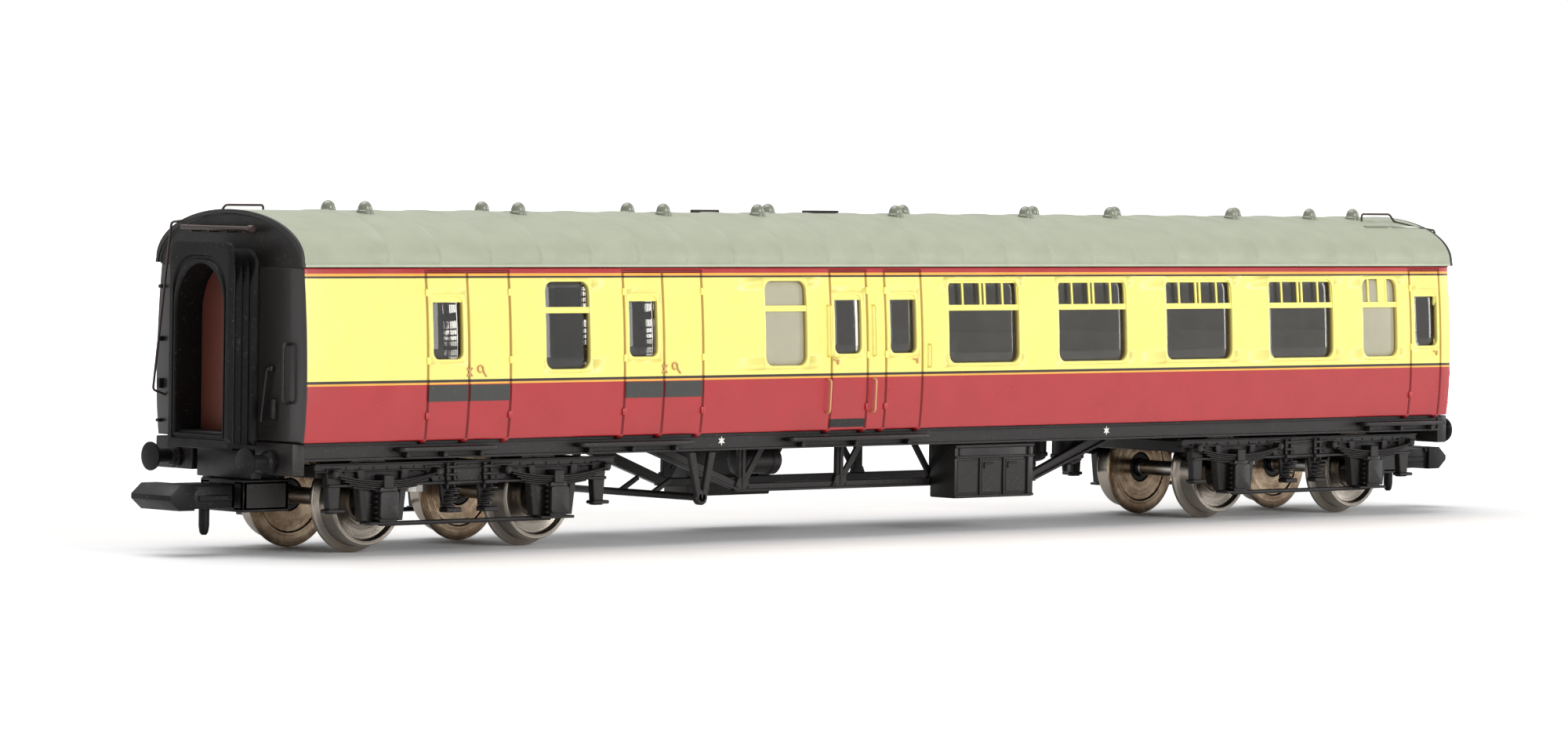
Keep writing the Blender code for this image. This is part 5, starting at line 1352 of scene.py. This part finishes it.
def bogie_side(side, frame_end):
    """One side frame: flanged rail and web, tie bars, springs and axleboxes, hangers with coils,
    and rivets."""
    head, foot = BOGIE_HIGH[2], AXLE_Z - 0.85
    eye, bar_z = head - 0.78, head - 1.72
    inner, outer = across(side, 0, 0.8)
    parts = Shape()

    def box(x, half, reach, z, radius=0.08):
        parts.join(soft_box((x - half, x + half), across(side, *reach), z, radius))

    def pin(profile, place, steps, closed=False):
        parts.join(lathe(profile, "Y", place, steps, closed))

    rail = [(-frame_end, head - 0.7), (-4.9, head - 0.7), (-4.0, head - 0.95), (4.0, head - 0.95),
            (4.9, head - 0.7), (frame_end, head - 0.7), (frame_end, head), (-frame_end, head)]
    parts.join(plate(rail, inner, outer - side * 0.16, "Y", 0.06))
    for z in (head - 0.14, head - 0.7):
        box(0, frame_end, (0, 0.8), (z, z + 0.14), 0.04)
    web = [(-4.6, head - 0.3), (-3.5, AXLE_Z + 1.25), (3.5, AXLE_Z + 1.25), (4.6, head - 0.3)]
    parts.join(plate(web, inner + side * 0.08, outer - side * 0.08, "Y", 0.06))
    box(0, AXLE_HALF + 5.5, (0, 1.05), (bar_z - 0.12, bar_z + 0.12), 0.06)
    box(0, 3.6, (0.1, 0.6), (bar_z, head - 0.1), 0.05)
    bolt = [(0, head - 0.15), (0.14, head - 0.2), (0.14, bar_z - 0.5), (0, bar_z - 0.55)]
    for x in (-2.25, -1.55, 1.55, 2.25):
        parts.join(lathe(bolt, "Z", (x, *across(side, 0.85), 0), 10))
    for x in (-HANGER_X, HANGER_X):
        parts.join(soft_boxes([((x - 0.6, x + 0.6), across(side, 0.3, 1.05), (z - 0.13, z + 0.13))
                               for z in (head - 0.5, head - 1.1)], 0.06))
    for axle in (-AXLE_HALF, AXLE_HALF):
        box(axle, 5.5, (0.1, 0.45), (bar_z, head - 0.1), 0.05)
        low, high = across(side, 0.3, 0.56)
        for dx in (-3.4, 3.4):
            pin([(0.2, low), (0.36, low), (0.36, high), (0.2, high)], (axle + dx, 0, head - 0.5), 14, True)
        parts.join(leaf_spring(axle, side, eye, *across(side, 0.35, 1.5)), axle_box(axle, side))
        low, high, tip = across(side, 0.2, 1.5, 1.62)
        for dx in (-SPRING_HALF, SPRING_HALF):
            pin([(0, low), (0.34, low), (0.34, high), (0.2, tip), (0, tip)], (axle + dx, 0, eye - 0.02), 14)
    for x in (-HANGER_X, HANGER_X):
        hanger = [(x - 0.5, foot), (x + 0.5, foot), (x + 0.85, eye - 0.5), (x - 0.85, eye - 0.5)]
        parts.join(plate(hanger, *across(side, 0.2, 0.6), "Y", 0.08))
        for k in range(5):
            coil = [(r, foot + 0.35 + 0.34 * k + t) for r, t in
                    ((0.28, -0.12), (0.52, -0.05), (0.52, 0.05), (0.28, 0.12))]
            at = (x - 0.35 + 0.16 * k, *across(side, 1.0), 0)
            parts.join(lathe(coil, "Z", at, 16, closed=True))
        box(x, 0.75, (0.3, 1.4), (foot - 0.16, foot + 0.22))
        box(x, 0.7, (0.3, 1.35), (foot + 2.0, foot + 2.35))
    for x in (-AXLE_HALF - 4.85, AXLE_HALF + 4.85):
        hanger = [(x - 0.45, foot), (x + 0.45, foot), (x + 0.75, head - 0.4), (x - 0.75, head - 0.4)]
        parts.join(plate(hanger, *across(side, 0.15, 0.85), "Y", 0.07))
        box(x, 0.85, (0.2, 1.2), (foot + 0.1, foot + 0.38))
    tie = (*across(side, 0.45), AXLE_Z - 1.75)
    parts.join(tube([(-AXLE_HALF, *tie), (AXLE_HALF, *tie)], 0.19, 10, (0, 1, 0)))
    for x in np.arange(-13.6, 13.7, 1.36):
        parts.join(rivet(x, outer - side * 0.16, head - 0.42, side, 0.11, 0.08))
    for x in (-2.9, -1.1, 1.1, 2.9):
        parts.join(rivet(x, outer - side * 0.08, AXLE_Z + 1.7, side))
    return parts


def make_bogies():
    """Two side frames on cross members, with the coupler's pocket beyond the outer one."""
    head = BOGIE_HIGH[2]
    width = (-FRAME_Y - 0.2, FRAME_Y + 0.2)
    for _, end, number in ENDS:
        centre = BOGIE_XS[number - 1]
        low, high = node_box(f"bogie_frame_{number}")
        frame_end = (high[0] if end < 0 else -low[0]) - (centre if end < 0 else -centre)
        parts = Shape().join(bogie_side(-1, frame_end), bogie_side(1, frame_end))
        parts.join(soft_box((-3, 3), width, (AXLE_Z + 1.05, head - 0.1), 0.1))
        top_pad = [(1.09, head - 0.5), (2.6, head - 0.5), (2.6, head), (1.09, head)]
        parts.join(lathe(top_pad, "Z", (0, 0, 0), 40, closed=True))
        for way in (-1, 1):
            parts.join(soft_box((way * (AXLE_HALF + 5.2), way * (AXLE_HALF + 6.15)), width,
                                (head - 1.15, head - 0.15), 0.08))
        near, far, wide = AXLE_HALF + 5.26, AXLE_HALF + 9.75, 2.7
        z_low, z_high = COUPLER_Z - 0.85, COUPLER_Z + 0.85
        tall = (z_low - 0.3, z_high + 0.3)
        walls = [((near, far), (-wide, wide), (z_high, z_high + 0.4)),
                 ((near, far), (-wide, wide), (z_low - 0.4, z_low)),
                 ((near, near + 0.4), (-wide, wide), tall),
                 ((near + 0.06, AXLE_HALF + 6.09), (-2.3, 2.3), (z_high, head - 0.9))]
        for side in (-1, 1):
            walls.append(((near, far), (side * (wide - 0.4), side * wide), tall))
            walls.append(((far - 0.4, far), (side * 1.5, side * wide), tall))
        parts.join(soft_boxes([((end * x[0], end * x[1]), y, z) for x, y, z in walls], 0.08))
        parts.moved((centre, 0, 0))
        piece(f"bogie_side_frames_{number}", parts, "black", (f"bogie_frame_{number}",),
              body=f"bogie_{number}")


def make_wheelsets():
    """Turned wheels, axles and bushes: one profile of radius and width, spun about the axle."""
    inner, outer = WHEEL_BACK, WHEEL_FACE
    flange, tread = AXLE_Z, AXLE_Z - 0.55
    t = np.linspace(0, math.pi, 7)
    nose = [(flange - 0.16 + 0.16 * math.sin(a), inner + 0.18 - 0.18 * math.cos(a)) for a in t]
    rim = [(tread + 0.2, inner + 0.5), (tread + 0.05, inner + 0.68), (tread - 0.05, outer - 0.1),
           (tread - 0.12, outer), (3.2, outer), (3.12, outer - 0.1), (3.04, outer - 0.45),
           (2.9, outer - 0.5), (1.8, outer - 0.5), (1.7, outer - 0.15)]
    half = [(0, AXLE_TIP), (0.05, AXLE_TIP - 0.04), (0.5, AXLE_TIP - 0.8), (0.5, 6.35), (0.75, 6.15),
            (0.75, 3.4), (0.68, 3.3), (0.68, 0.0)]
    axle = half + [(r, -y) for r, y in half[-2::-1]]
    collar = [(0.83, inner + 0.15), (1.2, inner + 0.15), (1.25, inner + 0.2), (1.25, outer - 0.1),
              (1.2, outer - 0.05), (0.83, outer - 0.05)]
    for number, x in enumerate(AXLE_XS, 1):
        place, body = (x, 0, AXLE_Z), f"wheelset_{number}"
        for side, word, bore in ((-1, "near", 0.83), (1, "far", 1.33)):
            line = [(bore, inner + 0.1), (2.9, inner + 0.1), (3.05, inner), *nose, *rim,
                    (bore, outer - 0.1)]
            made = lathe([(r, side * y) for r, y in line], "Y", place, sizes().wheel_steps, closed=True)
            piece(f"turned_wheel_{number}_{word}", made, "wheel", (f"wheel_{number}_{word}",), body=body,
                  angle=28.0)
        piece(f"turned_axle_{number}", lathe(axle, "Y", place, 32), "steel", (f"axle_{number}",),
              body=body, angle=30.0)
        piece(f"wheel_collar_{number}", lathe(collar, "Y", place, 32, closed=True), "black",
              (f"wheel_bush_{number}",), body=body)


def make_couplers():
    """The coupler's head, box and shank as rounded plates, its dropper and the coil behind it."""
    tail, back, head_back, z = 16.5, 19.1, 23.0, COUPLER_Z
    boxes = ((back, head_back + 0.1, 2.2, -0.9, 0.9, 0.16, 2),
             (back + 0.5, head_back - 0.5, 2.35, -0.35, 0.15, 0.08, 1),
             (head_back - 0.4, head_back + 0.5, 2.36, 0.55, 0.98, 0.08, 1),
             (tail, back + 0.1, 1.0, -0.4, 0.4, 0.1, 1), (tail - 0.4, tail + 0.4, 1.8, -0.6, 0.6, 0.1, 1))
    for _, end, number in ENDS:
        centre = BOGIE_XS[number - 1]
        foot = node_box(f"coupler_{number}")[0][2]
        nose = node_reach(f"coupler_{number}")[1] - abs(centre)
        head = [(centre + end * x, z + rise)
                for x, rise in ((head_back, -1.0), (nose - 0.95, -1.0), (nose, -0.2), (nose, 0.2),
                                (nose - 0.95, 1.0), (head_back, 1.0))]
        shape = plate(head, -2.5, 2.5, "Y", 0.1, 2)
        for near, far, half, below, above, radius, fine in boxes:
            shape.join(soft_box((centre + end * near, centre + end * far), (-half, half),
                                (z + below, z + above), radius, fine))
        dropper = [(0, z), (0.42, z), (0.42, foot + 0.7), (0.34, foot + 0.2), (0.2, foot), (0, foot)]
        shape.join(lathe(dropper, "Z", (centre + end * (back + 1.1), 0, 0), 20))
        piece(f"coupler_head_{number}", shape, "rubber", (f"coupler_{number}",),
              body=f"coupler_hook_{number}")
        node = f"coupler_spring_{number}"
        low, high = node_box(node)
        start, stop = node_reach(node)
        turn = np.linspace(0, 2 * math.pi * 4, 97)
        radius = (high[1] - low[1]) / 2 - 0.11
        path = np.stack([end * (start + 0.11 + (stop - start - 0.22) * turn / turn[-1]),
                         radius * np.cos(turn), z + radius * np.sin(turn)], 1)
        piece(f"coupler_coil_{number}", tube(path, 0.1, 8, (1.0, 0.02, 0.03)), "steel", (node,),
              body=f"coupler_swing_{number}")


def make_interior():
    """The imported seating, weight and screws keep their shapes and take their finishes."""
    for node, finish in (("seating_unit", "seat"), ("ballast_weight", "steel"),
                         ("pivot_screw_1", "steel"), ("pivot_screw_2", "steel")):
        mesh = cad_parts[node].data
        mesh.materials.clear()
        mesh.materials.append(FINISHES[finish])


def placed(name, data):
    """A new object in the scene."""
    made = bpy.data.objects.new(name, data)
    bpy.context.scene.collection.objects.link(made)
    return made


def seen_rays(tree):
    """One for rays from the camera or through a pane, and the ray kinds themselves."""
    rays = wired(tree, "LightPath").outputs
    return sums(tree, "MAXIMUM", rays["Is Camera Ray"], rays["Is Transmission Ray"]), rays


def make_floor():
    """A wide pale floor. Away from the coach it glows white, to the camera only."""
    mesh = bpy.data.meshes.new("floor")
    far = FLOOR_REACH
    mesh.from_pydata([(-far, -far, 0), (far, -far, 0), (far, far, 0), (-far, far, 0)], [], [[0, 1, 2, 3]])
    floor = placed("floor", mesh)
    finish = bpy.data.materials.new("floor_paper")
    finish.use_nodes = True
    tree = finish.node_tree
    shader = tree.nodes["Principled BSDF"]
    place = wired(tree, "TexCoord").outputs["Object"]
    tint = placed_effect(tree, "mottle_and_dust", Vector=place, Colour=(0.94, 0.94, 0.94, 1.0),
                         Amount=0.0, Scale=20.0)
    reach = wired(tree, "VectorMath", {"operation": "LENGTH"}, _0=place).outputs[1]
    glow = wired(tree, "MapRange", {"interpolation_type": "SMOOTHSTEP"}, Value=reach,
                 From_Min=0.085, From_Max=0.24, To_Min=0.0, To_Max=1.0).outputs[0]
    pale = wired(tree, "CombineColor", _0=glow, _1=glow, _2=glow)
    seen = seen_rays(tree)[0]
    for key, value in (("Base Color", tint.outputs[0]), ("Roughness", 0.6), ("Emission Strength", 1.0),
                       ("Emission Color", mixed(tree, seen, (0.0, 0.0, 0.0), pale.outputs[0]))):
        feed(tree, shader.inputs[key], value)
    mesh.materials.append(finish)


def make_world():
    """A studio that is white to the camera and to reflections, and dimmer as a light."""
    world = bpy.data.worlds.new("studio")
    world.use_nodes = True
    tree = world.node_tree
    seen, rays = seen_rays(tree)
    seen = sums(tree, "MAXIMUM", seen, sums(tree, "MULTIPLY", rays["Is Glossy Ray"], 0.55))
    strength = wired(tree, "MapRange", Value=seen, To_Min=0.36, To_Max=1.05)
    background = tree.nodes["Background"]
    background.inputs[0].default_value = (1.0, 1.0, 1.0, 1.0)
    tree.links.new(strength.outputs[0], background.inputs[1])
    bpy.context.scene.world = world
    bpy.context.scene.view_settings.view_transform = "Standard"


def make_camera():
    """A long lens on the coach, turned by an azimuth, an elevation and a roll."""
    azimuth, elevation, roll = (math.radians(angle) for angle in CAMERA_TURN)
    back = Vector((math.sin(azimuth) * math.cos(elevation), -math.cos(azimuth) * math.cos(elevation),
                   math.sin(elevation)))
    right = (-back).cross(Vector((0, 0, 1))).normalized()
    up = right.cross(-back)
    side = right * math.cos(roll) + up * math.sin(roll)
    over = up * math.cos(roll) - right * math.sin(roll)
    data = bpy.data.cameras.new("camera")
    data.lens = CAMERA_LENS
    data.sensor_width = 36.0
    data.shift_x, data.shift_y = CAMERA_SHIFT
    data.clip_start = 0.01
    camera = placed("camera", data)
    turn = Matrix((side, over, back)).transposed().to_4x4()
    turn.translation = Vector(CAMERA_AIM) * MM + back * CAMERA_AWAY * MM
    camera.matrix_world = turn
    bpy.context.scene.camera = camera


def make_stage():
    """A pale floor, soft lights and the camera."""
    make_floor()
    make_world()
    for name, place, aim, power, wide, tall in LIGHTS:
        data = bpy.data.lights.new(name, "AREA")
        data.shape = "RECTANGLE"
        data.size = wide
        data.size_y = tall
        data.energy = power
        lamp = placed(name, data)
        lamp.location = place
        lamp.rotation_euler = (Vector(aim) - Vector(place)).to_track_quat("-Z", "Y").to_euler()
    make_camera()


# --- the add-on ------------------------------------------------------------------------------------
class COACH_OT_finishes(bpy.types.Operator):
    """Makes the shader groups and every finish of the coach."""
    bl_idname = "coach.finishes"
    bl_label = "Coach finishes"

    def execute(self, context):
        make_finishes()
        return {"FINISHED"}


class COACH_OT_body(bpy.types.Operator):
    """Builds the body skin, window bars, hinges and door fittings."""
    bl_idname = "coach.body"
    bl_label = "Coach body"

    def execute(self, context):
        make_body()
        return {"FINISHED"}


class COACH_OT_roof(bpy.types.Operator):
    """Builds the ribbed roof, its ventilators, strips and conduit."""
    bl_idname = "coach.roof"
    bl_label = "Coach roof"

    def execute(self, context):
        make_roof()
        return {"FINISHED"}


class COACH_OT_glazing(bpy.types.Operator):
    """Builds the clear and frosted panes and the window guards."""
    bl_idname = "coach.glazing"
    bl_label = "Coach glazing"

    def execute(self, context):
        make_glazing()
        return {"FINISHED"}


class COACH_OT_gangways(bpy.types.Operator):
    """Builds the gangway frames, corridor doors and end fittings."""
    bl_idname = "coach.gangways"
    bl_label = "Coach gangways"

    def execute(self, context):
        make_gangways()
        return {"FINISHED"}


class COACH_OT_underframe(bpy.types.Operator):
    """Builds the floor, solebars, headstocks and footboards."""
    bl_idname = "coach.underframe"
    bl_label = "Coach underframe"

    def execute(self, context):
        make_underframe()
        return {"FINISHED"}


class COACH_OT_trusses(bpy.types.Operator):
    """Builds the trussing under each side."""
    bl_idname = "coach.trusses"
    bl_label = "Coach trusses"

    def execute(self, context):
        make_trusses()
        return {"FINISHED"}


class COACH_OT_equipment(bpy.types.Operator):
    """Builds the boxes, cylinders, dynamo and brake shaft."""
    bl_idname = "coach.equipment"
    bl_label = "Coach equipment"

    def execute(self, context):
        make_equipment()
        return {"FINISHED"}


class COACH_OT_buffers(bpy.types.Operator):
    """Builds the four turned buffers."""
    bl_idname = "coach.buffers"
    bl_label = "Coach buffers"

    def execute(self, context):
        make_buffers()
        return {"FINISHED"}


class COACH_OT_handrails(bpy.types.Operator):
    """Builds the wire rails at both ends."""
    bl_idname = "coach.handrails"
    bl_label = "Coach handrails"

    def execute(self, context):
        make_handrails()
        return {"FINISHED"}


class COACH_OT_bogies(bpy.types.Operator):
    """Builds the two bogie side frames and their coupler pockets."""
    bl_idname = "coach.bogies"
    bl_label = "Coach bogies"

    def execute(self, context):
        make_bogies()
        return {"FINISHED"}


class COACH_OT_wheelsets(bpy.types.Operator):
    """Builds the turned wheels, axles and collars."""
    bl_idname = "coach.wheelsets"
    bl_label = "Coach wheelsets"

    def execute(self, context):
        make_wheelsets()
        return {"FINISHED"}


class COACH_OT_couplers(bpy.types.Operator):
    """Builds the lifting couplers and their coils."""
    bl_idname = "coach.couplers"
    bl_label = "Coach couplers"

    def execute(self, context):
        make_couplers()
        return {"FINISHED"}


class COACH_OT_interior(bpy.types.Operator):
    """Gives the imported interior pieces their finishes."""
    bl_idname = "coach.interior"
    bl_label = "Coach interior"

    def execute(self, context):
        make_interior()
        return {"FINISHED"}


class COACH_OT_stage(bpy.types.Operator):
    """Makes the floor, the lights and the camera."""
    bl_idname = "coach.stage"
    bl_label = "Coach stage"

    def execute(self, context):
        make_stage()
        return {"FINISHED"}


BUILDERS = (
    COACH_OT_finishes, COACH_OT_body, COACH_OT_roof, COACH_OT_glazing, COACH_OT_gangways,
    COACH_OT_underframe, COACH_OT_trusses, COACH_OT_equipment, COACH_OT_buffers,
    COACH_OT_handrails, COACH_OT_bogies, COACH_OT_wheelsets, COACH_OT_couplers,
    COACH_OT_interior, COACH_OT_stage,
)


class COACH_PT_panel(bpy.types.Panel):
    """Lists the sizes, the colours and a button for each group of pieces."""
    bl_idname = "COACH_PT_panel"
    bl_label = "Coach"
    bl_space_type = "VIEW_3D"
    bl_region_type = "UI"
    bl_category = "Coach"

    def draw(self, context):
        layout = self.layout
        for group in (context.scene.coach_sizes, context.scene.coach_colours):
            box = layout.box()
            for name in group.__annotations__:
                box.prop(group, name)
        for builder in BUILDERS:
            layout.operator(builder.bl_idname)


CLASSES = (CoachSizes, CoachColours, *BUILDERS, COACH_PT_panel)


def register():
    for one in CLASSES:
        bpy.utils.register_class(one)
    bpy.types.Scene.coach_sizes = PointerProperty(type=CoachSizes)
    bpy.types.Scene.coach_colours = PointerProperty(type=CoachColours)


def unregister():
    del bpy.types.Scene.coach_colours
    del bpy.types.Scene.coach_sizes
    for one in reversed(CLASSES):
        bpy.utils.unregister_class(one)


def main():
    """Builds the coach with every operator in turn."""
    register()
    for builder in BUILDERS:
        getattr(bpy.ops.coach, builder.bl_idname.split(".")[1])()
    bpy.context.view_layer.update()


if __name__ == "__main__":
    main()
